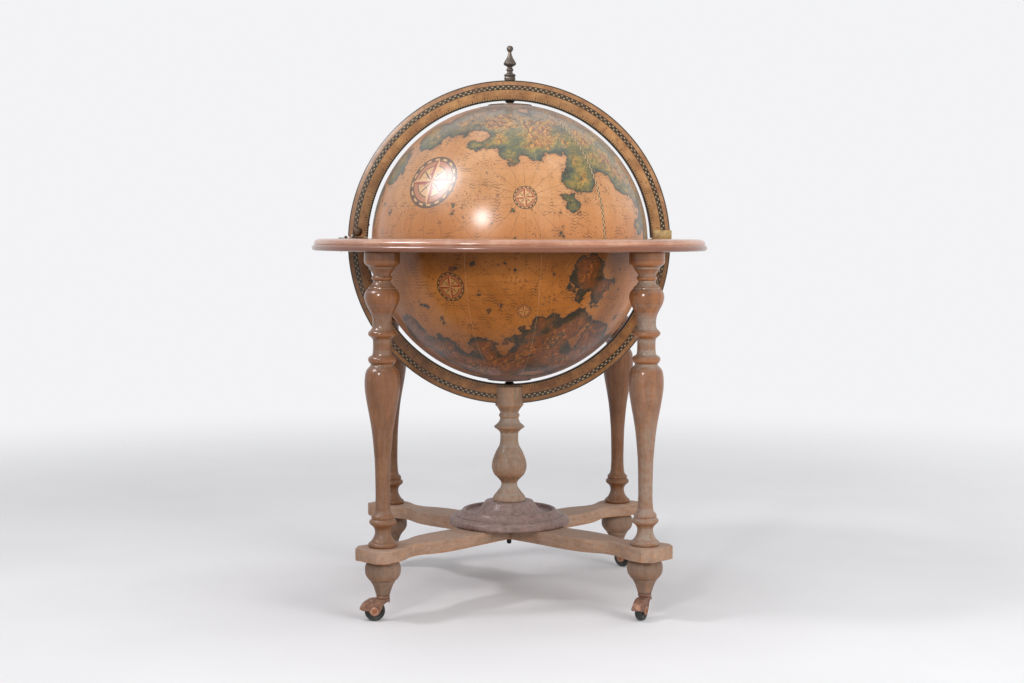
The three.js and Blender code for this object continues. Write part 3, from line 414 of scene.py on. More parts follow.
def turned_wood(name, dark, middle, light, dust, dusty, rough, coat, board=None):
    """Varnished wood, worn on its bulges, and dusty on its upper sides and in its grooves.

    The dust is thicker near the floor, and painted shade darkens the wood just under the ring. The grain
    runs along Z, or across a board turned by an angle.
    """
    s = Finish(name)
    where, stretch = s.place, (1, 1, 0.07)
    if board is not None:
        turn = (0, 0, math.radians(board))
        where = s.wire("ShaderNodeMapping", {"Vector": where, "Rotation": turn})
        stretch = (0.07, 1, 1)
    low = s.step(s.split(s.place)[2], 0.56, 0.22)  # by height in metres: 1 near the floor
    facing = s.split(s.wire("ShaderNodeTexCoord", output="Normal"))[2]
    bands = s.noise(7, 4, 0.6, stretch, where, 0.6)
    fibre = s.noise(0.8, 3, 0.65, stretch, where)
    patches = s.noise(42, 4, 0.6)
    grain = bands * 0.72 + fibre * 0.28
    colour = s.ramp(grain, (0.3, dark), (0.5, middle), (0.7, light))
    colour = s.mix(s.step(patches, 0.48, 0.7) * 0.42, colour, dark)
    # Painted shade: the wood is darkened just under the ring, where the ring's shadow falls
    painted_ring_shade = s.step(s.split(s.place)[2], 0.588, 0.612)  # under the ring
    colour = s.mix(painted_ring_shade * 0.5, colour, dark)
    groove = s.wire("ShaderNodeAttribute", output="Fac", attribute_name="groove",
                    attribute_type="GEOMETRY")
    spots = s.noise(9, 5, 0.68)
    fine = s.noise(1.4, 4, 0.75)
    worn = s.step(groove, 0.0, -0.5) * s.step(facing, 0.35, -0.2)
    colour = s.mix(worn * (0.55 - low * 0.25), colour, light)
    upper = s.step(facing, 0.02, 0.75)  # where it faces up
    thick = 0.55 + s.step(patches, 0.65, 0.35) * 0.3
    film = thick * (low * 0.7 + 0.15) * s.step(facing, -1.4, 0.1)
    hollow = groove + (1.0 - low) * 0.12
    settled = s.step(hollow, -0.02, 0.3) * s.step(facing, -0.8, 0.0)
    level = s.most(settled * 0.85, upper * (0.45 + low * 0.35), film)
    level = level * (0.5 + s.step(spots, 0.3, 0.6) * 0.5)
    pores = s.most(s.step(fine, 0.36, 0.6), s.step(fibre, 0.4, 0.62) * 0.8)
    level = s.math("MULTIPLY", level * dusty, 0.55 + pores * 0.5, clamp=True)
    colour = s.mix(level, colour, dust)
    relief = bands * 0.35 + fibre * 0.45
    return s.surface(
        Base_Color=colour,
        Roughness=rough + level * 0.3 + ((spots - 0.5) * 0.15 + low * 0.08),
        Normal=s.bump(relief, 0.25, 0.35),
        Specular_IOR_Level=0.2,
        Coat_Weight=coat * (1.0 - s.most(low * 0.75, level * 0.8)),
        Coat_Roughness=0.11,
    )


SCALE_IN, SCALE_OUT = 262.5, 331.5  # the scale on the ring's top, in millimetres from its middle


def ring_wood():
    """Glossy red-brown varnish over wood whose grain follows the ring."""
    s = Finish("ring_wood")
    x, y, z = s.split(s.place)
    around = s.math("ARCTAN2", y, x) * 0.3
    where = s.joined(around, s.length(x, y), z)
    bands = s.noise(6, 4, 0.6, (0.05, 1, 1), where, 0.4)
    fibre = s.noise(1.0, 2, 0.6, (0.05, 1, 1), where)
    patches = s.noise(70, 4, 0.6)
    grain = bands * 0.7 + fibre * 0.3
    colour = s.ramp(grain, (0.3, (130, 77, 50)), (0.5, (168, 109, 76)), (0.72, (198, 141, 108)))
    colour = s.mix(s.step(patches, 0.4, 0.7) * 0.4, colour, (140, 84, 56))
    low = s.step(z, 0.6372, 0.6345)  # the lower moulding
    colour = s.mix(low * 0.9, colour, (108, 54, 18))
    # The pale patches on the upper moulding are partly hazed varnish and partly a painted sheen of
    # reflected light
    haze_and_sheen = s.step(s.noise(30, 5, 0.7), 0.35, 0.75) * 0.4
    colour = s.mix(haze_and_sheen * (1.0 - low), colour, (208, 176, 154))
    radius = s.length(x, y) * 1000.0
    top = s.step(z, 0.64665, 0.6468)  # the flat top
    colour = s.mix(top * s.band(radius, SCALE_IN, SCALE_OUT), colour, ring_scale(s, radius, x, y))
    return s.surface(
        Base_Color=colour,
        Roughness=0.3 + haze_and_sheen * 0.5,
        Normal=s.bump(bands * 0.3 + fibre * 0.3, 0.12, 0.3),
        Coat_Weight=0.7,
        Coat_Roughness=0.1,
    )


def ring_scale(s, radius, x, y):
    """A plain scale printed on the ring's top: a checker border, bands and ticks."""
    degrees = s.angle(y, x)
    colour = s.aged_paper((196, 158, 112), (176, 134, 92), (146, 104, 70))
    ink = (52, 44, 34)
    lines = ((SCALE_IN, 263.3), (269.0, 269.4), (276.5, 276.9), (300.0, 300.4), (317.2, 317.7),
             (325.5, 326.0), (330.7, SCALE_OUT))
    for low, high in lines:
        colour = s.mix(s.band(radius, low, high) * 0.85, colour, ink)
    ticks = s.even(degrees, 1.0, 0.16) * s.band(radius, 263.3, 269.0)
    fives = s.even(degrees, 5.0, 0.2) * s.band(radius, 263.3, 276.5)
    thirds = s.even(degrees, 30.0, 0.25) * s.band(radius, 263.3, 317.2)
    tens = s.even(degrees, 10.0, 0.2) * s.band(radius, 300.0, 317.2)
    colour = s.mix(s.most(ticks, fives, thirds, tens) * 0.8, colour, ink)
    squares = abs(s.checks(degrees + 360.0, 1.0) - s.math("LESS_THAN", radius, 321.6))
    colour = s.mix(squares * s.band(radius, 317.7, 325.5) * 0.85, colour, (56, 54, 42))
    return colour


def meridian_print(name, light, middle, dark, rose, ink, stained, scale):
    """The meridian's printed faces: edge lines, a two-row checker, plain bands and a tick scale."""
    s = Finish(name)
    x, y, z = s.split(s.place)
    radius = s.length(x, 0.0, z - CENTRE * MM) * 1000.0
    inward = MERIDIAN_OUT - radius  # millimetres in from the outer edge
    degrees = s.angle(z - CENTRE * MM, x) + 360.0
    paper = s.aged_paper(light, middle, dark)
    colour = s.mix(s.band(inward, 0.0, 9.3) * 0.3, paper, rose)
    lines = ((-1.0, 2.2, 0.95), (3.6, 4.0, 0.4), (8.5, 9.3, 0.9), (16.2, 17.0, 0.9), (27.6, 28.1, 0.6),
             (30.9, 31.3, 0.6), (33.6, 36.0, 1.0))
    for low, high, strength in lines:
        colour = s.mix(s.band(inward, low, high) * strength, colour, ink)
    squares = abs(s.checks(degrees, 1.0) - s.math("LESS_THAN", inward, 12.75))
    frames = s.most(s.even(degrees, 1.0, 0.3), s.band(inward, 12.2, 13.3), s.band(inward, 8.8, 10.0),
                    s.band(inward, 15.5, 16.6))
    squares = s.most(squares, frames)
    band = s.band(inward, 9.0, 16.5, 0.08)
    colour = s.mix(band * 0.7, colour, (172, 150, 112))
    colour = s.mix(squares * band * 0.97, colour, ink)
    ticks = s.even(degrees, 1.0, 0.36) * s.band(inward, 31.2, 33.6)
    fives = s.even(degrees, 5.0, 0.3) * s.band(inward, 27.8, 31.0)
    tens = s.even(degrees, 10.0, 0.2) * s.band(inward, 16.6, 28.0)
    flecks = s.even(degrees, 2.5, 0.8) * s.band(inward, 4.6, 7.2, 0.5)
    flecks = flecks * s.step(s.noise(5, 3, 0.6), 0.45, 0.6)
    petals = s.even(degrees, 2.0, 1.0) * s.band(inward, 20.4, 24.6, 1.2)
    petals = petals * s.step(s.noise(16, 2, 0.5), 0.52, 0.6)
    colour = s.mix(s.band(inward, 31.3, 33.6) * scale, colour, (176, 144, 98))
    colour = s.mix(s.most(ticks, fives) * 0.85, colour, ink)
    colour = s.mix(s.most(tens * 0.6, flecks, petals * 0.7) * 0.6, colour, (96, 54, 34))
    stain = s.step(s.noise(38, 4, 0.6), 0.42, 0.72) * stained
    colour = s.mix(stain, colour, (100, 62, 38))
    return s.surface(
        Base_Color=colour,
        Roughness=0.36 + stain * 0.3,
        Normal=s.bump(s.noise(1.2, 3, 0.6), 0.08, 0.2),
        Specular_IOR_Level=0.3,
        Coat_Weight=0.3,
        Coat_Roughness=0.2,
    )


def plain_wood(name, dark, middle, light, rough, coat, stretch=(0.06, 1, 1)):
    s = Finish(name)
    bands = s.noise(8, 4, 0.6, stretch, None, 0.7)
    fibre = s.noise(1.0, 2, 0.6, stretch)
    grain = bands * 0.72 + fibre * 0.28
    colour = s.ramp(grain, (0.3, dark), (0.5, middle), (0.7, light))
    return s.surface(
        Base_Color=colour,
        Roughness=rough + (fibre - 0.5) * 0.2,
        Normal=s.bump(grain, 0.2, 0.3),
        Coat_Weight=coat,
        Coat_Roughness=0.2,
    )


def metal(name, base, worn, dull, rough, metallic=1.0, rust=None):
    """Aged metal: rubbed on a fine scale, dulled in patches, and rusted where a colour is given."""
    s = Finish(name)
    patches = s.noise(9, 5, 0.65)
    fine = s.noise(0.9, 4, 0.7)
    scratch = s.noise(0.5, 2, 0.6, (1, 1, 0.08))
    colour = s.mix(s.step(fine, 0.45, 0.7), base, worn)
    tarnish = s.step(patches, 0.42, 0.66)
    colour = s.mix(tarnish * 0.6, colour, dull)
    shine = metallic - tarnish * 0.25
    roughness = rough + tarnish * 0.25 + scratch * 0.1
    if rust:
        eaten = s.step(s.noise(4, 5, 0.7), 0.5, 0.62) * 0.8
        colour = s.mix(eaten, colour, rust)
        shine = shine * (1.0 - eaten)
        roughness = roughness + eaten * 0.35
    return s.surface(
        Base_Color=colour,
        Metallic=shine,
        Roughness=roughness,
        Normal=s.bump(fine + scratch, 0.12, 0.12),
    )


def dull(name, base, other, rough, size=6.0):
    """A plain dull surface with dust and scuffs."""
    s = Finish(name)
    patches = s.noise(size, 5, 0.65)
    fine = s.noise(size / 8, 3, 0.7)
    colour = s.mix(s.step(patches * 0.6 + fine * 0.4, 0.42, 0.66), base, other)
    return s.surface(
        Base_Color=colour,
        Roughness=rough + (patches - 0.5) * 0.3,
        Normal=s.bump(fine, 0.15, 0.2),
    )


# Lands of the made-up map, as longitude, latitude and radius in degrees. Longitude 0 is the front.
NORTH_LANDS = [
    (-32, 60, 13), (-8, 55, 15), (14, 48, 15), (32, 40, 13), (30, 26, 8), (24, 16, 4), (50, 42, 15),
    (64, 28, 13), (76, 10, 11), (62, 6, 4), (-54, 50, 9), (-70, 34, 8), (-82, 16, 7), (-2, 36, 5),
    (120, 52, 20), (150, 34, 16), (172, 14, 11), (-150, 44, 14), (-128, 26, 11), (-118, 6, 8),
    (0, 84, 14), (-170, 66, 16), (46, 62, 12),
]
NORTH_GULFS = [(19, 35, 4), (44, 24, 5), (-20, 46, 4), (58, 14, 4)]
SOUTH_LANDS = [
    (31, -11, 8), (38, -18, 6), (26, -19, 4), (22, -46, 15), (2, -52, 14), (44, -50, 15), (-18, -56, 15),
    (-40, -50, 11), (-58, -40, 8), (66, -50, 11), (100, -30, 12), (118, -10, 9), (150, -46, 14),
    (-150, -40, 13), (-130, -18, 9), (0, -84, 16), (-100, -62, 14), (180, -70, 16), (14, -35, 7),
    (30, -34, 6),
]
SOUTH_GULFS = [(-6, -46, 4), (34, -44, 4), (-28, -48, 4)]


def unit(longitude, latitude):
    """The direction of a place on the globe. Longitude 0 faces -Y and grows towards +X."""
    a, b = math.radians(longitude), math.radians(latitude)
    return (math.sin(a) * math.cos(b), -math.cos(a) * math.cos(b), math.sin(b))


def land_field(s, way, lands, gulfs):
    """About the distance inland from the coast, in radians: negative at sea."""
    def inside(place):
        longitude, latitude, radius = place
        spread = math.radians(radius)
        along = s.along(way, unit(longitude, latitude))
        return (along - math.cos(spread)) * (1 / math.sin(spread))

    field = inside(lands[0])
    for place in lands[1:]:
        field = s.math("SMOOTH_MAX", field, inside(place), 0.06)
    for place in gulfs:
        field = s.math("SMOOTH_MIN", field, inside(place) * -1.0, 0.05)
    return field


def compass(s, way, longitude, latitude, size, colour, sea, ink, petal, ground):
    """A plain compass rose of rings and points, with rhumb lines across the sea."""
    centre = Vector(unit(longitude, latitude))
    east = Vector((0, 0, 1)).cross(centre).normalized()
    north = centre.cross(east)
    right = s.along(way, east)
    up = s.along(way, north)
    front = s.step(s.along(way, centre), 0.2, 0.25)
    out = s.length(right, up)
    turns = (s.math("ARCTAN2", right, up) + 2 * math.pi) / (2 * math.pi)
    off = s.math("PINGPONG", turns, 1 / 32)
    line = s.step(off * out * (2 * math.pi), 0.0016, 0.0009)
    far = s.step(out, size * 1.12, size * 1.2) * s.step(out, 0.8, 0.5)
    colour = s.mix(line * far * sea * (front * 0.5), colour, ink)
    disc = front * s.step(out, size * 1.02, size)
    colour = s.mix(disc * 0.75, colour, ground)
    belt = front * (s.step(out, size * 0.62, size * 0.64) * s.step(out, size * 0.86, size * 0.84))
    colour = s.mix(belt * 0.6, colour, petal)
    for low, high in ((0.95, 1.03), (0.82, 0.87), (0.6, 0.64), (0.3, 0.34)):
        start, end = size * low, size * high
        ring = s.step(out, start - 0.0008, start) * s.step(out, end, end - 0.0008)
        colour = s.mix(ring * front * 0.85, colour, ink)
    edge = s.step(out, size * 0.87, size * 0.88) * s.step(out, size * 0.96, size * 0.95)
    colour = s.mix(edge * s.checks(turns, 1 / 32) * front * 0.85, colour, ink)
    for count, reach, power in ((16, 0.6, 1.5), (8, 0.72, 1.4), (4, 0.94, 1.7)):
        ray = s.math("PINGPONG", turns, 0.5 / count) * (2 * count)
        point = s.math("LESS_THAN", out, s.math("POWER", 1.0 - ray, power) * (size * reach))
        side = s.checks(turns, 0.5 / count)
        colour = s.mix(point * front * 0.92, colour, s.mix(side, ink if count == 8 else petal, ground))
    return colour


def hill_rows(s, longitude, latitude, flat, wobble, across, tall):
    """Rows of small hand-drawn peaks, as masks of their faces, their dark sides and their outlines."""
    level = latitude / tall + wobble * 1.6
    row = s.math("FLOOR", level)
    rise = s.math("FRACT", level + 64.0)
    run = longitude * flat / across + row * 0.43 + wobble * 1.2
    part = s.math("FRACT", run + 64.0)
    dice = s.wire("ShaderNodeTexWhiteNoise", {"Vector": s.joined(s.math("FLOOR", run), row)}, "Value")
    slope = 1.0 - abs(part * 2.0 - 1.0)
    crest = slope * (0.45 + dice * 0.6)
    over = crest - rise
    face = s.step(over, -0.02, 0.04)
    dark = face * s.step(part, 0.46, 0.54)
    line = s.step(abs(over), 0.13, 0.05) * s.step(dice, 0.15, 0.3)
    return face, dark, line


def globe_print(name, lands, gulfs, roses, south):
    """The varnished map: made-up lands, drawn hills, coast shading, rhumb lines and a graticule."""
    s = Finish(name)
    way = s.vector("NORMALIZE", s.vector("SUBTRACT", s.place, (0, 0, CENTRE * MM)))
    x, y, z = s.split(way)
    latitude = s.math("ARCSINE", z)
    longitude = s.math("ARCTAN2", x, y * -1.0)
    flat = s.math("SQRT", 1.0 - z * z)

    def on(size, detail, rough, offset=(0, 0, 0), twist=0.0):
        return s.texture(s.vector("ADD", way, offset), 1 / size, detail, rough, twist)

    ragged = on(0.2, 9, 0.62) - 0.5
    islets = (on(0.09, 3, 0.5, (3, 1, 2)) - 0.69) * 0.5
    field = s.most(land_field(s, way, lands, gulfs) + ragged * 0.4, islets)
    land = s.step(field, -0.0008, 0.0008)
    sea = 1.0 - land

    blots = on(0.35, 5, 0.6, (7, 0, 0))
    fine = on(0.012, 4, 0.7)
    if south:
        water = s.ramp(blots, (0.3, (140, 82, 30)), (0.5, (163, 99, 43)), (0.7, (180, 115, 56)))
        # Painted shade: the sea darkens towards the bottom of the globe
        water = s.mix(s.step(z, -0.35, -0.85) * 0.6, water, (112, 62, 22))
        # Painted shadow of the ring: the sea darkens just under the ring
        water = s.mix(s.step(z, -0.26, -0.03) * 0.65, water, (92, 54, 28))
    else:
        water = s.ramp(blots, (0.3, (174, 116, 65)), (0.5, (189, 133, 82)), (0.7, (203, 153, 108)))
        water = s.mix(s.step(z, 0.4, 0.02) * 0.5, water, (184, 112, 48))
    water = s.mix(s.step(fine, 0.4, 0.75) * 0.25, water, (116, 66, 20) if south else (128, 78, 40))

    relief = on(0.085, 7, 0.62, twist=0.6)
    shifted = on(0.085, 7, 0.62, (-0.007, 0, 0.007), twist=0.6)
    lit = (relief - shifted) * 9.0
    rise = field * 2.4 + (on(0.16, 5, 0.55, (2, 5, 1)) - 0.5) * 0.9
    if south:
        ground = s.ramp(rise, (0.0, (52, 42, 28)), (0.04, (78, 54, 32)), (0.12, (104, 58, 28)),
                        (0.3, (114, 62, 32)), (0.42, (70, 66, 42)), (0.5, (100, 60, 32)),
                        (0.75, (122, 66, 36)))
        peak, flank = ((176, 106, 44), (58, 34, 20))
    else:
        ground = s.ramp(rise, (0.0, (70, 76, 60)), (0.05, (82, 87, 62)), (0.13, (101, 98, 59)),
                        (0.23, (132, 115, 57)), (0.34, (158, 117, 52)), (0.46, (150, 94, 54)),
                        (0.62, (132, 98, 80)))
        # Painted reflection: a grey sheen on the land and the sea towards the pole
        high = s.step(z, 0.68, 0.9)  # towards the pole
        ground = s.mix(high * 0.72, ground, (126, 112, 100))
        # Painted reflection: the land greys towards the right side
        ground = s.mix(s.step(x, 0.4, 0.85) * 0.45, ground, (112, 104, 84))
        water = s.mix(high * 0.5, water, (160, 128, 106))
        peak, flank = ((206, 146, 64), (114, 58, 34))
    strength = s.step(rise, 0.05, 0.3)
    bright = s.math("MULTIPLY", lit, 1.0, clamp=True)
    ground = s.mix(bright * (0.15 + strength * 0.5), ground, peak)
    shaded = s.math("MULTIPLY", lit, -1.0, clamp=True)
    ground = s.mix(shaded * (0.4 + strength * 0.5), ground, (44, 46, 34))
    hilly = s.step(rise + (on(0.07, 3, 0.5, (4, 0, 9)) - 0.5) * 0.9, 0.24, 0.32)
    wobble = on(0.12, 3, 0.5, (0, 3, 3)) - 0.5
    for across, tall, cover in ((0.036, 0.03, 0.5), (0.064, 0.054, 0.95)):
        face, dark, line = hill_rows(s, longitude, latitude, flat, wobble, across, tall)
        cover = hilly * cover
        ground = s.mix(face * (cover * 0.55), ground, peak)
        ground = s.mix(dark * (cover * 0.75), ground, flank)
        ground = s.mix(line * (cover * 0.8), ground, (56, 36, 26))
    river = s.step(abs(on(0.3, 6, 0.55, (9, 9, 0)) - 0.5), 0.006, 0.003)
    ground = s.mix(river * (s.step(field, 0.3, 0.1) * 0.6), ground, (40, 52, 52))
    colour = s.mix(land, water, ground)

    ink = (52, 36, 26)
    near = s.step(field, -0.055, -0.004) * sea
    waves = s.step(s.math("SINE", field * 560.0), 0.2, 0.75)
    colour = s.mix(near * waves * 0.3, colour, ink)
    colour = s.mix(s.step(field, -0.035, 0.0) * sea * 0.4, colour, (122, 80, 46))
    shore = s.step(field, 0.022 if south else 0.05, 0.0) * land
    colour = s.mix(shore * (0.55 if south else 0.42), colour, (44, 46, 38))
    coast = s.step(abs(field), 0.006, 0.0025)
    colour = s.mix(coast * 0.9, colour, (38, 38, 32))
    swell = latitude * 300.0 + s.math("SINE", longitude * 140.0) * 1.3
    ripples = s.step(s.math("SINE", swell), 0.3, 0.8) * s.step(on(0.09, 4, 0.6, (0, 4, 4)), 0.54, 0.62)
    colour = s.mix(ripples * sea * 0.6, colour, ink)
    shoal = s.step(on(0.016, 2, 0.6, (6, 6, 1)), 0.58, 0.63)
    shoal = shoal * s.step(on(0.15, 3, 0.5, (8, 2, 2)), 0.5, 0.58)
    colour = s.mix(shoal * sea * 0.6, colour, ink)

    step = math.radians(15)
    across = s.math("PINGPONG", longitude + 4 * step, step / 2) * flat
    along = s.math("PINGPONG", latitude + 8 * step, step / 2)
    grid = s.most(s.step(across, 0.0015, 0.0008), s.step(along, 0.0015, 0.0008))
    colour = s.mix(grid * s.step(flat, 0.12, 0.2) * 0.4, colour, (78, 50, 32))
    for place in roses:
        petal = (132, 50, 30) if south else (150, 68, 52)
        ground = (168, 120, 66) if south else (206, 164, 116)
        colour = compass(s, way, *place, colour, sea, ink, petal, ground)

    if not south:  # a measured strip down one line of longitude
        ladder = (longitude - math.radians(38)) * flat
        tape = s.step(abs(ladder), 0.0096, 0.0088) * s.step(flat, 0.1, 0.14)
        rungs = abs(s.checks(latitude + math.pi, 0.02) - s.math("LESS_THAN", ladder, 0.0))
        dark = s.most(rungs, s.step(abs(ladder), 0.0062, 0.0072))
        colour = s.mix(tape * 0.9, colour, s.mix(dark, (204, 174, 126), (38, 30, 24)))
    gore = s.math("PINGPONG", longitude + (2 * step + math.radians(20)), step) * flat  # paper seams
    colour = s.mix(s.step(gore, 0.0011, 0.0004) * 0.4, colour, (214, 186, 148))
    rim = s.step(abs(latitude), 0.011, 0.006)
    colour = s.mix(rim * 0.5, colour, (86, 56, 38))
    colour = s.mix(s.step(on(0.5, 4, 0.6, (1, 8, 3)), 0.5, 0.75) * 0.22, colour,
                   (96, 54, 20) if south else (104, 66, 40))
    scuff = s.step(on(0.04, 6, 0.75, (5, 5, 5)), 0.6, 0.75)
    gloss = 0.7
    if south:
        facing = s.wire("ShaderNodeLayerWeight", {"Blend": 0.5}, "Facing")
        gloss = 0.06 + s.step(facing, 0.18, 0.34) * 0.4
    return s.surface(
        Base_Color=colour,
        Roughness=0.38 + scuff * 0.2,
        Normal=s.bump(s.noise(0.8, 3, 0.6), 0.05, 0.15),
        Specular_IOR_Level=0.06 if south else 0.25,
        Coat_Weight=gloss,
        Coat_Roughness=0.22,
        Coat_IOR=1.7 if south else 1.5,
        Sheen_Weight=0.2 if south else 0.3,
        Sheen_Roughness=0.32,
        Sheen_Tint=(0.86, 0.83, 0.92, 1.0),
    )


def hour_circle():
    """The pole caps: an hour ring of plain ticks round a small star."""
    s = Finish("hour_circle")
    x, y, z = s.split(s.place)
    out = s.length(x, y) * 1000.0
    degrees = s.angle(y, x) + 360.0
    colour = s.aged_paper((204, 180, 140), (184, 152, 112), (150, 116, 84))
    ink = (60, 48, 40)
    for low, high in ((38.0, 41.0), (33.5, 33.9), (27.0, 27.4), (14.0, 14.3)):
        colour = s.mix(s.band(out, low, high) * 0.8, colour, ink)
    hours = s.even(degrees, 15.0, 0.8) * s.band(out, 27.4, 33.5)
    parts = s.even(degrees, 3.75, 0.5) * s.band(out, 33.9, 38.0)
    colour = s.mix(s.most(hours, parts) * 0.8, colour, ink)
    ray = s.math("PINGPONG", degrees, 22.5) * (1 / 22.5)
    star = s.math("LESS_THAN", out, s.math("POWER", 1.0 - ray, 1.8) * 26.0)
    colour = s.mix(star * 0.6, colour, s.mix(s.checks(degrees, 22.5), (150, 84, 60), (214, 196, 160)))
    return s.surface(
        Base_Color=colour,
        Roughness=0.36 + s.noise(9, 3) * 0.1,
        Coat_Weight=0.5,
        Coat_Roughness=0.18,
    )


def leg_wood(corner, tone, dusty):
    """The legs' wood, whose dust differs from leg to leg, and whose tone is darkened leg by leg as
    painted shade.
    """
    shades = ((103, 58, 25), (131, 77, 35), (159, 97, 47), (146, 130, 116))
    shaded_colours = [tuple(part * tone for part in shade) for shade in shades]
    return turned_wood(f"leg_wood_{corner}", *shaded_colours, dusty, rough=0.34, coat=0.65)


# The first number darkens a leg's colours as painted shade: the back legs and the front left leg are
# darker
LEG_WOOD = {
    "front_left": leg_wood("front_left", 0.89, 0.65),
    "front_right": leg_wood("front_right", 1, 1.25),
    "back_left": leg_wood("back_left", 0.84, 0.5),
    "back_right": leg_wood("back_right", 0.84, 0.5),
}
FOOT_WOOD = turned_wood("foot_wood", (84, 60, 45), (118, 87, 66), (154, 106, 72), (134, 117, 104),
                        0.95, rough=0.42, coat=0.2)
COLUMN_WOOD = turned_wood("column_wood", (98, 68, 46), (138, 98, 66), (176, 112, 64), (158, 143, 129),
                          1.2, rough=0.42, coat=0.3)
DISC_WOOD = turned_wood("disc_wood", (60, 38, 33), (90, 60, 51), (122, 86, 72), (160, 140, 133),
                        0.9, rough=0.38, coat=0.45)
RING_WOOD = ring_wood()
UPPER_PRINT = meridian_print("upper_meridian_print", (190, 144, 94), (168, 122, 76), (138, 96, 58),
                             (138, 98, 76), (22, 24, 17), 0.4, 0.45)
# The lower meridian's print is a darker copy of the upper's: painted shade under the ring
LOWER_PRINT = meridian_print("lower_meridian_print", (160, 110, 60), (134, 88, 48), (98, 64, 34),
                             (128, 92, 50), (20, 20, 14), 0.5, 0.3)
EDGE_WOOD = plain_wood("meridian_edge", (34, 24, 18), (58, 42, 30), (84, 62, 46), 0.4, 0.3, (1, 1, 1))
INNER_EDGE = dull("meridian_inner_edge", (20, 18, 16), (36, 31, 27), 0.45)
BOARD_WOOD = {
    side: turned_wood(f"board_wood_{side}", (108, 76, 53), (144, 103, 72), (180, 124, 80),
                      (166, 146, 131), 1.0, rough=0.46, coat=0.15, board=board)
    for side, board in (("lower", -45), ("upper", 45))
}
BOARD_EDGE_WOOD = plain_wood("board_edge", (124, 80, 49), (160, 108, 66), (188, 130, 80), 0.42, 0.3,
                             (1, 1, 1))
BAR_WOOD = plain_wood("bar_wood", (92, 52, 30), (128, 78, 46), (156, 102, 64), 0.34, 0.5)
LINING = dull("shell_lining", (152, 116, 82), (174, 138, 100), 0.6, 30.0)
RIM_EDGE = dull("shell_rim", (66, 44, 30), (90, 62, 42), 0.5)
NORTH_MAP = globe_print("north_map", NORTH_LANDS, NORTH_GULFS,
                        [(-38, 25, 0.19), (4, 18, 0.08), (-140, 8, 0.1)], south=False)
SOUTH_MAP = globe_print("south_map", SOUTH_LANDS, SOUTH_GULFS,
                        [(-27, -17, 0.1), (4, -27, 0.05), (150, -14, 0.1)], south=True)
CAP_PRINT = hour_circle()
BLACK_METAL = metal("black_metal", (34, 31, 29), (62, 58, 54), (26, 23, 21), 0.34, 0.8)
BRASS = metal("brass", (200, 170, 120), (220, 196, 150), (156, 130, 90), 0.38)
BRONZE = metal("bronze", (84, 66, 54), (126, 104, 88), (50, 36, 30), 0.24, 1.0)
STEEL = metal("screw_steel", (150, 146, 140), (188, 184, 178), (96, 90, 84), 0.32)
PEWTER = metal("pewter", (96, 86, 78), (134, 124, 114), (60, 52, 46), 0.34, 0.85)
COPPER = metal("caster_copper", (126, 90, 72), (160, 124, 102), (84, 60, 50), 0.46, 0.6)
RUSTY = metal("axle_rust", (140, 88, 56), (176, 120, 84), (116, 64, 34), 0.5, 0.4, (150, 80, 34))
# The axle ring's pale colour is partly a painted highlight
AXLE_RING = metal("axle_ring", (168, 126, 104), (204, 166, 142), (130, 88, 66), 0.42, 0.6)
TREAD = dull("caster_tread", (24, 28, 22), (56, 58, 50), 0.5, 9.0)


# The stand

RING_EDGE = [
    (256.6, 626, 1), (352.8, 626), (355.2, 626.8), (356.5, 628.8), (357, 631), (356.4, 633.4),
    (354.8, 635.4), (353, 636.2), (352.4, 636.7, 1), (352.9, 637.3, 1), (353.4, 638.6), (353, 640.8),
    (351.2, 643.4), (348.2, 645.5), (344.4, 646.7), (340, 647), (330, 647), (257, 647), (256.2, 646.4),
    (256, 645.6), (256, 627), (256.2, 626.3), (256.6, 626, 1),
]
lathe("horizon_ring_wood", RING_EDGE, 192, [RING_WOOD], "stand", ["horizon_ring"],
      step=2.0, closed=True)

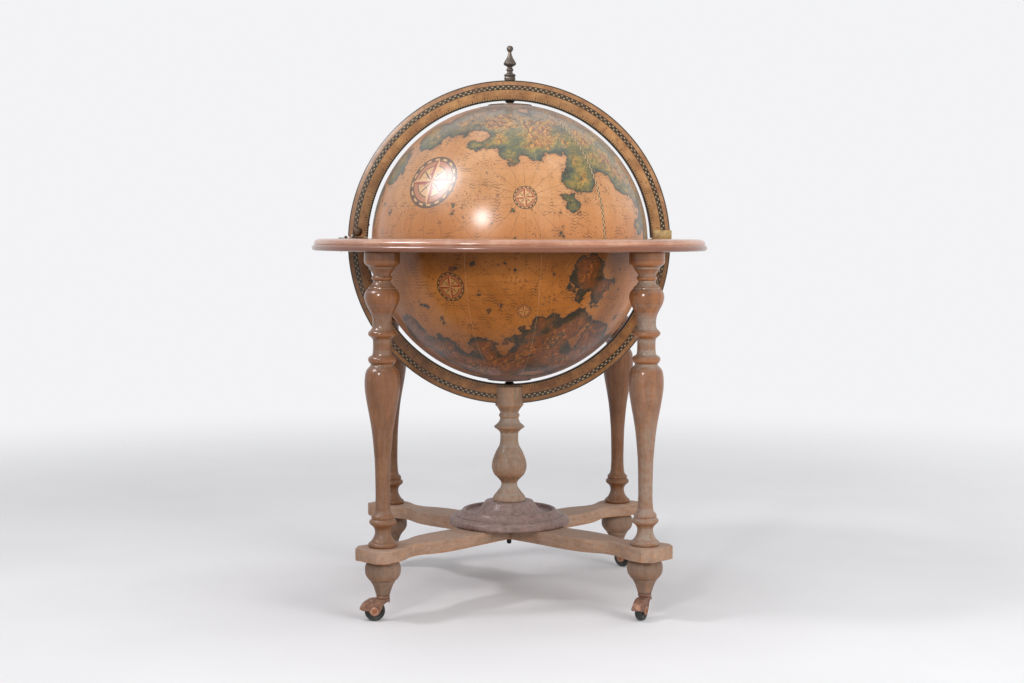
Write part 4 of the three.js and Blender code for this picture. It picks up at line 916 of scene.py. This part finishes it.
# Radius, and depth below the globe's centre. The other profiles give radius and height.
LEG_PROFILE = [
    (23.2, 512.6), (24.2, 511.6), (24.9, 509), (24.4, 506.6), (22.8, 504.8), (21.6, 504.2, 1),
    (20, 503.6, 1), (19.6, 502, 1), (18.6, 500.9), (17.3, 499.1), (15.6, 495.5), (14.1, 491.9),
    (13.4, 486.4), (14.1, 481.9), (15.8, 479.2), (17.5, 476.8, 1), (19, 475.8), (21.4, 473.8),
    (22.9, 470.8), (22.6, 468.2), (21, 466.2), (18.5, 464.6, 1), (19.4, 462.8), (19.5, 460.6),
    (18.4, 458.2), (16.4, 456.4), (14.8, 454.6), (13.6, 450), (12.8, 442), (12.2, 430), (12.3, 408),
    (12.7, 388), (13.4, 366), (14.3, 354), (15.8, 336), (18.1, 315), (21.3, 295), (25, 275), (28.2, 256),
    (29.6, 245), (30, 235), (29.6, 226), (28, 216), (25.4, 210.6), (22, 207), (19.6, 204.2),
    (19.4, 202.4, 1), (21.6, 200.2), (23.6, 196.8), (24, 194), (22.8, 190.8), (20, 188.8), (17, 187),
    (16.2, 184), (15.6, 176), (15.5, 168), (16, 161), (18, 158), (19.8, 156.4, 1), (22.2, 154.8),
    (23.8, 152.2), (23.6, 149.4), (21.8, 147), (19, 144.4), (16.8, 140.6), (16, 134.6), (16.4, 127),
    (17.8, 120.6), (20.6, 114), (24.2, 107.2), (27.4, 100.4), (29.2, 94.6), (29.8, 90.4), (29.5, 86.6),
    (28.6, 82.8), (27, 79.6), (24.8, 77.2), (22.9, 75.6, 1), (22.7, 74.4), (22.4, 73.2), (21.6, 72.4, 1),
    (20, 71.2), (17.8, 69.2), (15.9, 66.6), (14.9, 64), (14.7, 62.2, 1), (15.6, 61.2), (16.9, 59.8),
    (17.4, 58), (17.2, 56.2), (16, 54.6), (14.6, 53.4, 1), (15.2, 51.4), (16.8, 48.8), (18.8, 46),
    (20.9, 43.2, 1), (21.6, 42.4), (21.9, 41), (22, 39.4, 1), (23.8, 38), (26.2, 36.2), (28.4, 34.2),
    (29.6, 32.4), (30, 30.6), (30, 28), (30, 17), (30, 15.2), (29.2, 13.9), (28, 13.7),
]
FOOT_PROFILE = [
    (10.3, 44.6), (12, 45.3), (12.5, 47), (13.2, 50), (14.6, 54.6), (16.2, 59), (17.8, 62.6),
    (18.8, 64.8), (19, 65.8, 1), (20.4, 66.4), (20.7, 67.4), (20.5, 68.4, 1), (21.6, 69.2), (23.8, 71.2),
    (26.4, 74.4), (28.8, 78.2), (30.2, 82.4), (30.5, 87), (30.4, 91.8), (29.3, 96.4), (27, 100.4),
    (25.4, 102.4), (24.2, 104),
]
FERRULE_PROFILE = [
    (4.8, 39), (10.6, 39), (11.3, 39.5), (11.5, 40.2), (11.4, 42.6), (11.1, 43.2), (11.4, 43.8),
    (11.3, 44.2), (10.6, 44.3), (10.3, 44), (10.3, 40.5), (4.8, 40.4), (4.6, 39.6), (4.8, 39),
]
for corner, (x, y, trail) in CORNERS.items():
    at = (x * LEG_OFFSET, y * LEG_OFFSET, 0)
    leg = [(row[0], CENTRE - row[1], *row[2:]) for row in LEG_PROFILE]
    lathe(f"leg_{corner}_wood", leg, 48, [LEG_WOOD[corner]], "stand",
          [f"leg_{corner}"], at, step=2.2)
    lathe(f"foot_{corner}_wood", FOOT_PROFILE, 48, [FOOT_WOOD], "stand",
          [f"foot_{corner}"], at, step=1.6)
    lathe(f"ferrule_{corner}_cup", FERRULE_PROFILE, 40, [COPPER], "stand",
          [f"ferrule_{corner}"], at, step=0.6, closed=True)

# Half the plan of a stretcher board: distance from the centre, and half width
BOARD_EDGE = [
    (0, 33.2), (60, 33), (110, 34.2), (150, 36.2), (180, 36.4), (205, 33.6), (222, 28.4), (238, 22),
    (252, 19.8), (266, 21), (280, 25.6), (292, 31), (302, 34.2), (314, 36.8), (330, 38.4, 1),
    (338, 39.2, 1), (354.4, 26.6, 1),
]

BOARD_LOW, BOARD_HIGH = 104.5, 126.5
LAPS = {"lower": (115.35, 130), "upper": (100, 115.65)}  # heights cut away at the crossing
LAP_HALF = 33.7
ROD_HOLE = 4.4


def stretcher_board(side, turn):
    half = curve_through(BOARD_EDGE, 6.0)
    edge = [(-u, w) for u, w in half[:0:-1]] + [(u, w) for u, w in half]
    outline = edge + [(u, -w) for u, w in reversed(edge)]
    verts, faces = prism(outline[::-1], BOARD_LOW, BOARD_HIGH)
    low, high = LAPS[side]
    lap = block((-LAP_HALF, -80, low), (LAP_HALF, 80, high))
    mesh = worked(verts, faces, [lap, round_tool(ROD_HOLE, 100, 130)], bevel=2.4, segments=3, angle=40)
    mesh.transform(rotation(turn, "Z"))

    def choose(face):
        """The bevel under the board shows its paler edge."""
        return int(-0.95 < face.normal.z < -0.2)

    dress(f"stretcher_{side}_wood", mesh, [BOARD_WOOD[side], BOARD_EDGE_WOOD], "stand",
          [f"stretcher_{side}_board"], choose)


stretcher_board("lower", 45)
stretcher_board("upper", -45)

DISC_PROFILE = [
    (105.6, 126.8, 1), (108.2, 127.1), (109.7, 128.8), (110, 131.6), (109.2, 135.4), (106.4, 139),
    (102.4, 141.5), (99, 142.4, 1), (98, 142.5, 1), (97.8, 144.2, 1), (94.4, 144.9), (90.4, 146.8),
    (87.6, 149.6), (86.6, 151.2, 1), (85.6, 152.7), (83.4, 153.7), (81, 153.3), (79.5, 151.8, 1),
    (78.6, 148.4, 1), (74, 147.5), (66, 147.6), (60.6, 148.8), (56.4, 151.6), (52.6, 155.6), (49.2, 160),
    (46.2, 164.2), (44, 167.4, 1), (43.2, 168.3), (42.4, 168.5, 1),
]
lathe("base_disc_wood", DISC_PROFILE, 96, [DISC_WOOD], "stand", ["base_disc"], step=1.8)

COLUMN_PROFILE = [
    (29.2, 168.8, 1), (30, 169.4), (30.2, 171.6), (29.6, 174.2), (28.2, 177.2), (25.6, 180.8),
    (22.6, 183.8, 1), (22.2, 184.6, 1), (20.6, 187), (17.6, 190.6), (15.3, 194.6), (14.5, 198.2),
    (14.4, 200.6), (15.8, 204), (18.6, 207.6), (22.2, 211.2, 1), (22.9, 212.2, 1), (26.4, 215.2),
    (28.8, 219), (30.6, 223.6), (31.8, 229.4), (31.9, 234.4), (31.2, 240), (29.6, 245.4), (26.8, 252.8),
    (23.9, 259.8), (20.6, 265.4), (18.3, 270), (16.8, 277), (16.4, 284), (16.5, 291), (17.2, 294.6, 1),
    (18.6, 296), (22.2, 299.8), (26.2, 302.2), (27.9, 303.7), (27.2, 305.6), (23.6, 308.6), (20.2, 312),
    (18.2, 315.4), (17.2, 318.6), (16.7, 320.6, 1), (17, 321.4, 1), (18.2, 322.8), (19, 325.2),
    (18.4, 327.4), (17, 328.8, 1), (16.5, 329.8), (17.2, 332.2), (19, 335.4), (21.4, 339), (24.2, 342.6),
    (25.6, 343.7, 1), (25.7, 344.2),
]
lathe("centre_column_wood", COLUMN_PROFILE, 48, [COLUMN_WOOD], "stand",
      ["centre_column"], step=1.8)

# The column's saddle, slotted for the meridian
SLOT_HALF = 9.3
saddle = round_tool(25.7, 344.0, 378.4, 64)
slot_cut = block((-40, -SLOT_HALF, 346.5), (40, SLOT_HALF, 400))
mesh = worked(*saddle, [slot_cut, round_tool(ROD_HOLE, 330, 350)], bevel=0.9, angle=40)
dress("column_saddle_wood", mesh, [COLUMN_WOOD], "stand", ["centre_column"])

lathe("centre_rod_end", [(3.0, 88.4), (3.9, 89.3), (3.9, 130.0), (3.9, 228.8)], 24, [BLACK_METAL],
      "stand", ["centre_rod"])


# The meridian

def half_meridian(name, upper, print_material, node, body):
    """One half: a bevelled rectangular section swept round the globe's centre, cut level at both ends."""
    soft = 0.9  # the radius of its long edges
    inner, outer, half = MERIDIAN_IN, MERIDIAN_OUT, MERIDIAN_HALF
    section = []
    for r, y, a0 in ((inner, half, 90), (inner, -half, 180), (outer, -half, 270), (outer, half, 0)):
        cr = r + soft if r == inner else r - soft
        cy = y - soft if y > 0 else y + soft
        for k in range(3):
            a = math.radians(a0 + k * 45)
            section.append((cr + soft * math.cos(a), cy + soft * math.sin(a)))
    # How far its level ends lie from the height of the globe's centre
    foot = RING_TOP + 2.2 - CENTRE if upper else CENTRE - RING_BOTTOM + 0.3
    steps = 160
    verts = []
    for i in range(steps + 1):
        for r, y in section:
            start = math.asin(foot / r)
            a = start + (math.pi - 2 * start) * i / steps
            verts.append((r * math.cos(a), y, CENTRE + (r if upper else -r) * math.sin(a)))
    count = len(section)
    last = steps * count
    faces = []
    for first in range(0, last, count):
        for j in range(count):
            k = (j + 1) % count
            faces.append((first + j, first + k, first + count + k, first + count + j))
    faces += [tuple(range(count)), tuple(range(last, last + count))]
    cutters = []
    if upper:
        # The outer corner over the hinge is cut away
        outside, inside = -outer - 2, -outer + 2.6
        outline = [(outside, RING_TOP), (inside, RING_TOP), (inside, RING_TOP + 2.2),
                   (outside, RING_TOP + 10.2)]
        corner, corner_faces = prism(outline, -12, 12)
        cutters.append((moved(corner, turn=AGAINST_Y), corner_faces))
    mesh = worked(verts, faces, cutters)

    def choose(face):
        """The print lies on the two flat faces, and the face towards the globe is dark."""
        if abs(face.normal.y) > 0.75:
            return 0
        middle = face.center - Vector((0, 0, CENTRE * MM))
        return 2 if middle.length < (inner + 3) * MM else 1

    dress(name, mesh, [print_material, EDGE_WOOD, INNER_EDGE], body, [node], choose)


half_meridian("upper_meridian_arc", True, UPPER_PRINT, "upper_meridian", "lid")
half_meridian("lower_meridian_arc", False, LOWER_PRINT, "lower_meridian", "stand")

# The parts at a pole: radius, and distance from the globe's centre
PIN_PROFILE = [
    (4, 235), (4, 252.4, 1), (5.8, 252.4), (6.2, 252.7), (8.9, 255.2), (9, 255.8), (8.6, 255.9, 1),
    (4, 255.9, 1), (4, 303.5),
]
NUT_PROFILE = [
    (4.2, 237.1), (10.6, 237.1), (11.4, 237.9), (11.4, 242.3), (10.6, 243.1), (4.2, 243.1), (4.2, 237.1),
]
CAP_PROFILE = [
    (4.5, 250.3), (20, 249.5), (39.4, 247.2, 1), (40, 247.5), (39.9, 248.4), (39.2, 248.8, 1), (20, 251),
    (4.5, 251.75, 1), (4.5, 250.3),
]
MIDDLE = (0, 0, CENTRE)
for half, turn, pin_body, globe_body in (("upper", None, "lid", "upper_globe"),
                                         ("lower", FLIP, "stand", "lower_globe")):
    lathe(f"{half}_pin", PIN_PROFILE, 32, [BLACK_METAL], pin_body,
          [f"{half}_pole_pin"], MIDDLE, turn)
    lathe(f"{half}_nut", NUT_PROFILE, 32, [BLACK_METAL], pin_body,
          [f"{half}_pin_nut"], MIDDLE, turn, closed=True)
    lathe(f"{half}_cap", CAP_PROFILE, 64, [CAP_PRINT], globe_body,
          [f"{half}_pole_cap"], MIDDLE, turn, closed=True)

FINIAL_PROFILE = [
    (9.6, 292.6), (9.8, 293.6), (10.2, 296.4), (9.6, 298.8), (8.8, 299.8, 1), (10.4, 300.8), (10.9, 302),
    (9.8, 303.6), (7.2, 304.8), (5.3, 306.6), (5.1, 308.8), (6.4, 310.8), (6.7, 312), (6, 313.4),
    (4.8, 314.8), (4.6, 316.6), (7.6, 318.6), (10.4, 320.4), (11.3, 322.2), (11.2, 324), (9.9, 326.2),
    (8.6, 328.4), (6.2, 332.4), (4.3, 336.6), (3.1, 340.6), (2.8, 343), (3.6, 344.4), (4.3, 345, 1),
    (5.2, 346.4), (6, 349), (5.6, 351.8), (3.9, 354), (1.8, 354.8), (0.4, 355),
]
lathe("finial_turning", FINIAL_PROFILE, 40, [PEWTER], "lid", ["finial"], MIDDLE, step=0.8)


# The globe

def hemisphere(half, turn, material, body):
    """A shell with a hole for its pin at the pole. Inside, the shell is level round the hole."""
    rim, hole, level, skin = 0.5, 4.6, 14, 0.8

    def arc(radius, start, end, count):
        return [(radius * math.cos(a), radius * math.sin(a)) for a in np.linspace(start, end, count)]

    outer = arc(GLOBE, math.asin(rim / GLOBE), math.acos(hole / GLOBE), 56)
    inner = arc(SHELL, math.acos(level / SHELL), math.asin(rim / SHELL), 40)
    verts, faces, _ = turned(outer + [(hole, inner[0][1])] + inner, 160, closed=True)
    middle = Vector(MIDDLE) * MM

    def choose(face):
        """The map lies on the outside and the lining on the inside, and the rim is bare."""
        far = (face.center - middle).length
        if far > (GLOBE - skin) * MM:
            return 0
        return 2 if far < (SHELL + skin) * MM and abs(face.center.z - middle.z) > 0.6 * MM else 1

    name = f"{half}_shell"
    mesh = mesh_of(name, moved(verts, MIDDLE, turn), faces)
    dress(name, mesh, [material, RIM_EDGE, LINING], body, [f"{half}_hemisphere"], choose)


hemisphere("upper", None, NORTH_MAP, "upper_globe")
hemisphere("lower", FLIP, SOUTH_MAP, "lower_globe")

# The hoops inside the rims: radius, and distance from the equator
UPPER_HOOP = [
    (231, 0.8, 1), (241.4, 0.8, 1), (241.6, 14.6, 1), (232.2, 14.8), (230.8, 14.2), (230.3, 13),
    (230.3, 1.6), (231, 0.8, 1),
]
LOWER_HOOP = [
    (231, 0.8, 1), (241.4, 0.8, 1), (241.6, 14.8, 1), (222.4, 14.8, 1), (222.4, 10.4, 1),
    (230.3, 10.4, 1), (230.3, 1.6), (231, 0.8, 1),
]
lathe("upper_hoop", UPPER_HOOP, 128, [BAR_WOOD], "upper_globe", ["upper_rim_hoop"],
      MIDDLE, step=3.0, closed=True)
lathe("lower_hoop", LOWER_HOOP, 128, [BAR_WOOD], "lower_globe", ["lower_rim_hoop"],
      MIDDLE, FLIP, step=3.0, closed=True)


def around(count, radius, first):
    """Places on a circle, the first at an angle from X."""
    angles = [first + i * 2 * math.pi / count for i in range(count)]
    return [(radius * math.cos(a), radius * math.sin(a), 0) for a in angles]


TRAY = 229.9
SHELF = 183.0
BOTTLE_HOLE = TRAY * 0.2
GLASS_HOLE = TRAY * 0.143
BOTTLES = around(3, TRAY * 0.34, math.pi / 2)
GLASSES = around(6, TRAY * 0.765, 0)
tray_holes = [round_tool(BOTTLE_HOLE, 600, 650, 64, at) for at in BOTTLES]
tray_holes += [round_tool(GLASS_HOLE, 600, 650, 48, at) for at in GLASSES]
mesh = worked(*round_tool(TRAY, 629.4, 637.4, 160), tray_holes, bevel=0.9, angle=40)
dress("bar_tray_board", mesh, [BAR_WOOD], "lower_globe", ["bar_tray"])
recesses = [round_tool(BOTTLE_HOLE, 486.4, 500, 64, at) for at in BOTTLES]
mesh = worked(*round_tool(SHELF, 481.4, 489.4, 128), recesses, bevel=0.8, angle=40)
dress("bottle_shelf_board", mesh, [BAR_WOOD], "lower_globe", ["bottle_shelf"])


# The hinge and the shoe

PIVOT_X, PIVOT_Z = -296.2, 649.7
PIVOT = (PIVOT_X, 0, PIVOT_Z)
LEAF_LOW, LEAF_HIGH = RING_TOP + 0.3, RING_TOP + 1.9
LEAF_HALF = 7.5
GAP_HALF = 2.7  # between the ring's two knuckles
KNUCKLE_HALF = 2.4  # the lid's knuckle, in that gap
SCREW_X = -304.7
FOOT_X = 274.55  # the middle of the meridian's feet


def knuckle(start, end):
    return round_tool(2.4, start, end, 32, PIVOT, ALONG_Y)


def sink(x, top):
    """A cutter for a countersunk screw."""
    outline = [(0, top - 3.4), (2.2, top - 3.4), (4.2, top), (4.2, top + 3), (0, top + 3)]
    verts, faces, _ = turned(outline, 32)
    return moved(verts, (x, 0, 0)), faces


pin_bore = round_tool(1.5, -20, 20, 24, PIVOT, ALONG_Y)
gap = block((PIVOT_X - 3, -GAP_HALF, RING_TOP), (PIVOT_X + 3, GAP_HALF, PIVOT_Z + 4))
ring_leaf = block((PIVOT_X - 13, -LEAF_HALF, LEAF_LOW), (PIVOT_X, LEAF_HALF, LEAF_HIGH))
knuckles = [knuckle(-LEAF_HALF, -GAP_HALF), knuckle(GAP_HALF, LEAF_HALF)]
mesh = worked(*ring_leaf, [gap, pin_bore, sink(SCREW_X, LEAF_HIGH + 0.1)], knuckles, bevel=0.25)
dress("hinge_ring_half", mesh, [BRONZE], "stand", ["hinge_ring_leaf"])

lid_leaf = block((PIVOT_X + 3, -LEAF_HALF, LEAF_LOW), (-MERIDIAN_IN, LEAF_HALF, LEAF_HIGH))
neck = block((PIVOT_X, -KNUCKLE_HALF, LEAF_LOW), (PIVOT_X + 5, KNUCKLE_HALF, LEAF_HIGH))
tongue = block((-285.3, -1.5, LEAF_LOW), (-263.8, 1.5, RING_TOP + 24))
bolt_at = (-FOOT_X, 0, RING_TOP + 12.6)
bolt_hole = round_tool(2.8, -20, 20, 24, bolt_at, ALONG_Y)
adds = [neck, tongue, knuckle(-KNUCKLE_HALF, KNUCKLE_HALF)]
mesh = worked(*lid_leaf, [pin_bore, bolt_hole], adds, bevel=0.25)
dress("hinge_lid_half", mesh, [BRONZE], "lid", ["hinge_lid_leaf"])

PIN_ROD = [(0.8, -8.6), (1.1, -8.2), (1.1, 8.2), (0.8, 8.6)]
lathe("hinge_pin_rod", PIN_ROD, 20, [BRONZE], "stand", ["hinge_pin"], PIVOT, ALONG_Y)
BOLT_PROFILE = [
    (2.5, -11.3, 1), (2.5, 9.3, 1), (7.6, 9.3), (8.2, 9.9), (8.1, 11.2), (7.3, 13), (5.6, 14.4),
    (3.2, 15.1), (0.3, 15.3),
]
lathe("hinge_bolt_dome", BOLT_PROFILE, 40, [BRONZE], "lid", ["hinge_bolt"],
      bolt_at, AGAINST_Y, step=0.6)
BOLT_CAP = [
    (2.8, 11.6), (2.8, 9.3, 1), (5.5, 9.3), (6, 9.8), (5.9, 11.6), (4.8, 12.8), (2.4, 13.3), (0.3, 13.3),
]
lathe("hinge_bolt_nut", BOLT_CAP, 32, [BRONZE], "lid", ["hinge_bolt_cap"],
      bolt_at, ALONG_Y, step=0.6)
FOOT_SCREW = [(1.0, -4.0), (1.0, 9.3, 1), (1.9, 9.3), (2.0, 9.6), (1.7, 10.2), (0.9, 10.5), (0.2, 10.5)]
lathe("hinge_foot_screw_head", FOOT_SCREW, 24, [STEEL], "lid", ["hinge_foot_screw"],
      (-284.3, 0, RING_TOP + 5), AGAINST_Y, step=0.4)
SCREW_TIP = [(0.3, 622.3), (1.3, 624.4), (1.8, 626.4), (1.8, 640.0)]
lathe("hinge_ring_screw_tip", SCREW_TIP, 20, [STEEL], "stand", (), (SCREW_X, 0, 0),
      step=0.6)
BUFFER = [(1.6, 0.0), (2.0, 0.4), (2.0, 1.4), (1.4, 2.2), (0.2, 2.4)]
lathe("lid_buffer", BUFFER, 20, [INNER_EDGE], "lid", (), (-255.7, 0, RING_TOP + 25),
      rotation(90, "Y"), step=0.4)

shoe = block((MERIDIAN_IN + 3.6, -10.9, LEAF_LOW), (294.2, 10.9, RING_TOP + 16))
channel = block((MERIDIAN_IN, -SLOT_HALF, LEAF_HIGH), (292.6, SLOT_HALF, RING_TOP + 30))
mesh = worked(*shoe, [channel, sink(FOOT_X, LEAF_HIGH + 0.1)], bevel=0.35)
dress("lid_guide_shoe_brass", mesh, [BRASS], "stand", ["lid_guide_shoe"])


# The casters

WHEEL_RADIUS = 17.5
TRAIL = 14  # from the stem to the axle
# The fork's top and its lower edge from the side: distance from the stem towards the wheel, and height
HOOD_TOP = [
    (-11.4, 37.6), (-10.6, 38.7), (-6, 38.8), (4, 38.8), (12, 38.8), (19.4, 38.3), (24, 37), (27.6, 35.1),
    (31, 32.8), (34, 30.2), (37.4, 26), (39.2, 22.8), (39.5, 22.2),
]
HOOD_EDGE = [
    (-11.4, 31.4), (-10.4, 32.8), (-8.8, 33.9), (-5, 31.7), (-0.6, 28.4), (0.6, 24), (3.4, 17.6),
    (6.4, 12.8), (9.4, 10.3), (12.4, 9.2), (15.8, 9.2), (19, 10.4), (21.2, 12.6), (22.6, 15.4),
    (23.8, 17.8, 1), (28, 17.9), (34.9, 18.9), (38.4, 21.2), (39.5, 22),
]


def fork_mesh():
    """Pressed sheet: two cheeks joined by a rounded hood."""
    top = curve_through(HOOD_TOP, 1.2)
    edge = curve_through(HOOD_EDGE, 1.0)
    back, front = HOOD_TOP[0][0], HOOD_TOP[-1][0]
    spans = [np.linspace(back, -8, 8), np.linspace(-8, 35, 50), np.linspace(35, front, 14)]
    stations = np.unique(np.round(np.concatenate(spans), 3))
    half, bend, sheet = 8.6, 2.4, 1.5
    verts, count = [], 0
    for layer in (0, sheet):
        for u in stations:
            high = np.interp(u, top[:, 0], top[:, 1]) - layer
            low = min(np.interp(u, edge[:, 0], edge[:, 1]), high - 0.4)
            w = half - layer
            b = min(max(bend - layer, 0.4), (high - low) * 0.6)
            # From the cheek's lower edge over the bend to the hood
            row = [(w, low), (w, (low + high - b) / 2), (w, high - b), (w - b * 0.29, high - b * 0.29),
                   (w - b, high), (w * 0.4, high + 0.15)]
            row = row + [(-y, z) for y, z in row[::-1]]
            count = len(row)
            verts += [(u, y, z) for y, z in row]
    n = len(stations)

    def at(layer, i, j):
        return (layer * n + i) * count + j

    faces = []
    for i in range(n - 1):
        for j in range(count - 1):
            faces.append((at(0, i, j), at(0, i + 1, j), at(0, i + 1, j + 1), at(0, i, j + 1)))
            faces.append((at(1, i, j), at(1, i, j + 1), at(1, i + 1, j + 1), at(1, i + 1, j)))
        for j in (0, count - 1):
            faces.append((at(0, i, j), at(1, i, j), at(1, i + 1, j), at(0, i + 1, j)))
    for i in (0, n - 1):
        for j in range(count - 1):
            faces.append((at(0, i, j), at(0, i, j + 1), at(1, i, j + 1), at(1, i, j)))
    return np.array(verts), faces


def mirrored(rows):
    return [(radius, -height, *corner) for radius, height, *corner in reversed(rows)]


WHEEL_SIDE = [
    (2.8, -5.2, 1), (6.6, -5.2), (7.4, -4.9), (8.2, -4.4), (11, -4.3), (12.4, -4.9), (13.6, -5.8),
    (15, -6), (16.2, -5.6), (17, -4.4), (17.4, -2.6),
]
WHEEL_PROFILE = WHEEL_SIDE + [(WHEEL_RADIUS, 0)] + mirrored(WHEEL_SIDE) + WHEEL_SIDE[:1]
AXLE_END = [
    (1.6, -11.2), (3.2, -10.8), (3.6, -10.2), (3.4, -9.9, 1), (6.2, -9.7), (7, -9.3), (7.1, -8.9, 1),
    (2.2, -8.9, 1),
]
STEM_PROFILE = [(3.9, 36.8), (3.9, 60.0), (3.4, 60.7)]
fork_verts, fork_faces = fork_mesh()
for corner, (x, y, trail) in CORNERS.items():
    spin = rotation(trail, "Z")
    at = Vector((x * LEG_OFFSET, y * LEG_OFFSET, 0))
    hub = at + spin @ Vector((TRAIL, 0, WHEEL_RADIUS))
    axis = spin @ Vector((0, 1, 0))

    def choose(face):
        """The axle's rim is paler than its rusty middle, and its paleness is partly a painted highlight.
        """
        return int((face.center / MM - hub).cross(axis).length > 3.9)

    mesh = mesh_of(f"caster_hood_{corner}", moved(fork_verts, at, spin), fork_faces)
    dress(f"caster_hood_{corner}", mesh, [COPPER], f"caster_{corner}",
          [f"caster_fork_{corner}"])
    lathe(f"caster_stem_{corner}", STEM_PROFILE, 24, [STEEL], f"caster_{corner}",
          [f"caster_fork_{corner}"], at)
    lathe(f"caster_rivet_{corner}", AXLE_END + mirrored(AXLE_END), 32, [RUSTY, AXLE_RING],
          f"caster_{corner}", [f"caster_axle_{corner}"], hub, spin @ ALONG_Y,
          step=0.6, choose=choose)
    lathe(f"caster_tread_{corner}", WHEEL_PROFILE, 48, [TREAD], f"wheel_{corner}",
          [f"caster_wheel_{corner}"], hub, spin @ ALONG_Y, step=0.9, closed=True)

# CAD nodes whose shape is right as it is
for node, material in {
    "centre_washer": BLACK_METAL,
    "centre_nut": BLACK_METAL,
    "meridian_screw": STEEL,
    "hinge_ring_screw": STEEL,
    "shoe_screw": STEEL,
}.items():
    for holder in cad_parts[node].material_slots:
        holder.material = material


# The room

AIM = Vector((0, 0, 0.62))
WINDOW = (0.98, 0.96, 1.0)


def floor():
    """A pale disc that fades into the pale world away from the object. Its sizes are in metres."""
    radius, sides, clear, full = 5, 96, 3.2, 1.0
    s = Finish("floor")
    x, y, z = s.split(s.place)
    tone = s.mix(s.step(s.noise(400, 3), 0.3, 0.7), (226, 225, 225), (230, 229, 229))
    shown = s.step(s.length(x, y), clear, full)
    surface = s.surface(Base_Color=tone, Roughness=0.9, Specular_IOR_Level=0.1, Alpha=shown)
    mesh = bpy.data.meshes.new("floor")
    angles = np.linspace(0, 2 * math.pi, sides, endpoint=False)
    rim = [(radius * math.cos(a), radius * math.sin(a), 0) for a in angles]
    mesh.from_pydata(rim, [], [tuple(range(sides))])
    mesh.materials.append(surface)
    made = placed("floor", mesh)


def lamp(name, way, distance, size, power, colour=(1, 1, 1), mirrored=True, lights=True):
    """A round lamp seen from the globe in a direction. It can light surfaces, show in them, or both."""
    light = bpy.data.lights.new(name, "AREA")
    light.shape = "DISK"
    light.size = size
    light.energy = power
    light.color = colour
    made = placed(name, light)
    way = Vector(way).normalized()
    made.location = AIM + way * distance
    made.rotation_mode = "QUATERNION"
    made.rotation_quaternion = way.to_track_quat("Z", "Y")
    made.visible_glossy = mirrored
    made.visible_diffuse = lights


floor()
lamp("left_window", (-0.667, -0.239, 0.706), 2.6, 0.46, 21, WINDOW, mirrored=False)
lamp("front_lamp", (-0.294, -0.908, 0.30), 3.0, 0.32, 17, mirrored=False)
lamp("left_glow", (-0.72, -0.239, 0.652), 2.6, 0.95, 52, WINDOW, lights=False)
lamp("front_glow", (-0.394, -0.862, 0.337), 3.0, 0.6, 36, lights=False)
lamp("right_fill", (0.62, -0.74, 0.2), 3.4, 1.9, 66, mirrored=False)
lamp("overhead", (0.1, -0.1, 1.0), 3.4, 4.0, 36)
lamp("right_window", (0.9, 0.34, 0.28), 3.4, 2.0, 16, mirrored=False)

# The world lights the scene with one colour, and shows another behind it and in its gloss
world = bpy.data.worlds.new("room_light")
world.use_nodes = True
room = Nodes(world.node_tree)
glow = room.wire("ShaderNodeBackground", {"Color": (0.93, 0.95, 1.0, 1.0), "Strength": 0.48})
pale = room.wire("ShaderNodeBackground", {"Color": (243, 243, 245)})
rays = room.node("ShaderNodeLightPath").outputs
seen = room.math("MAXIMUM", *(Wire(room, rays[kind]) for kind in ("Is Camera Ray", "Is Glossy Ray")))
both = room.wire("ShaderNodeMixShader", {0: seen, 1: glow, 2: pale})
room.node("ShaderNodeOutputWorld", {0: both})
bpy.context.scene.world = world

# The photograph's camera, worked out from the ring, the globe and the legs
camera_data = bpy.data.cameras.new("camera")
camera_data.sensor_width = 36
camera_data.lens = 56.845
camera = placed("camera", camera_data)
camera.location = (-0.1186, -2.94015, 0.65355)
camera.rotation_euler = (math.radians(90 - 3.76), math.radians(-0.1), math.radians(-2.395))
bpy.context.scene.camera = camera
bpy.context.scene.view_settings.view_transform = "Standard"
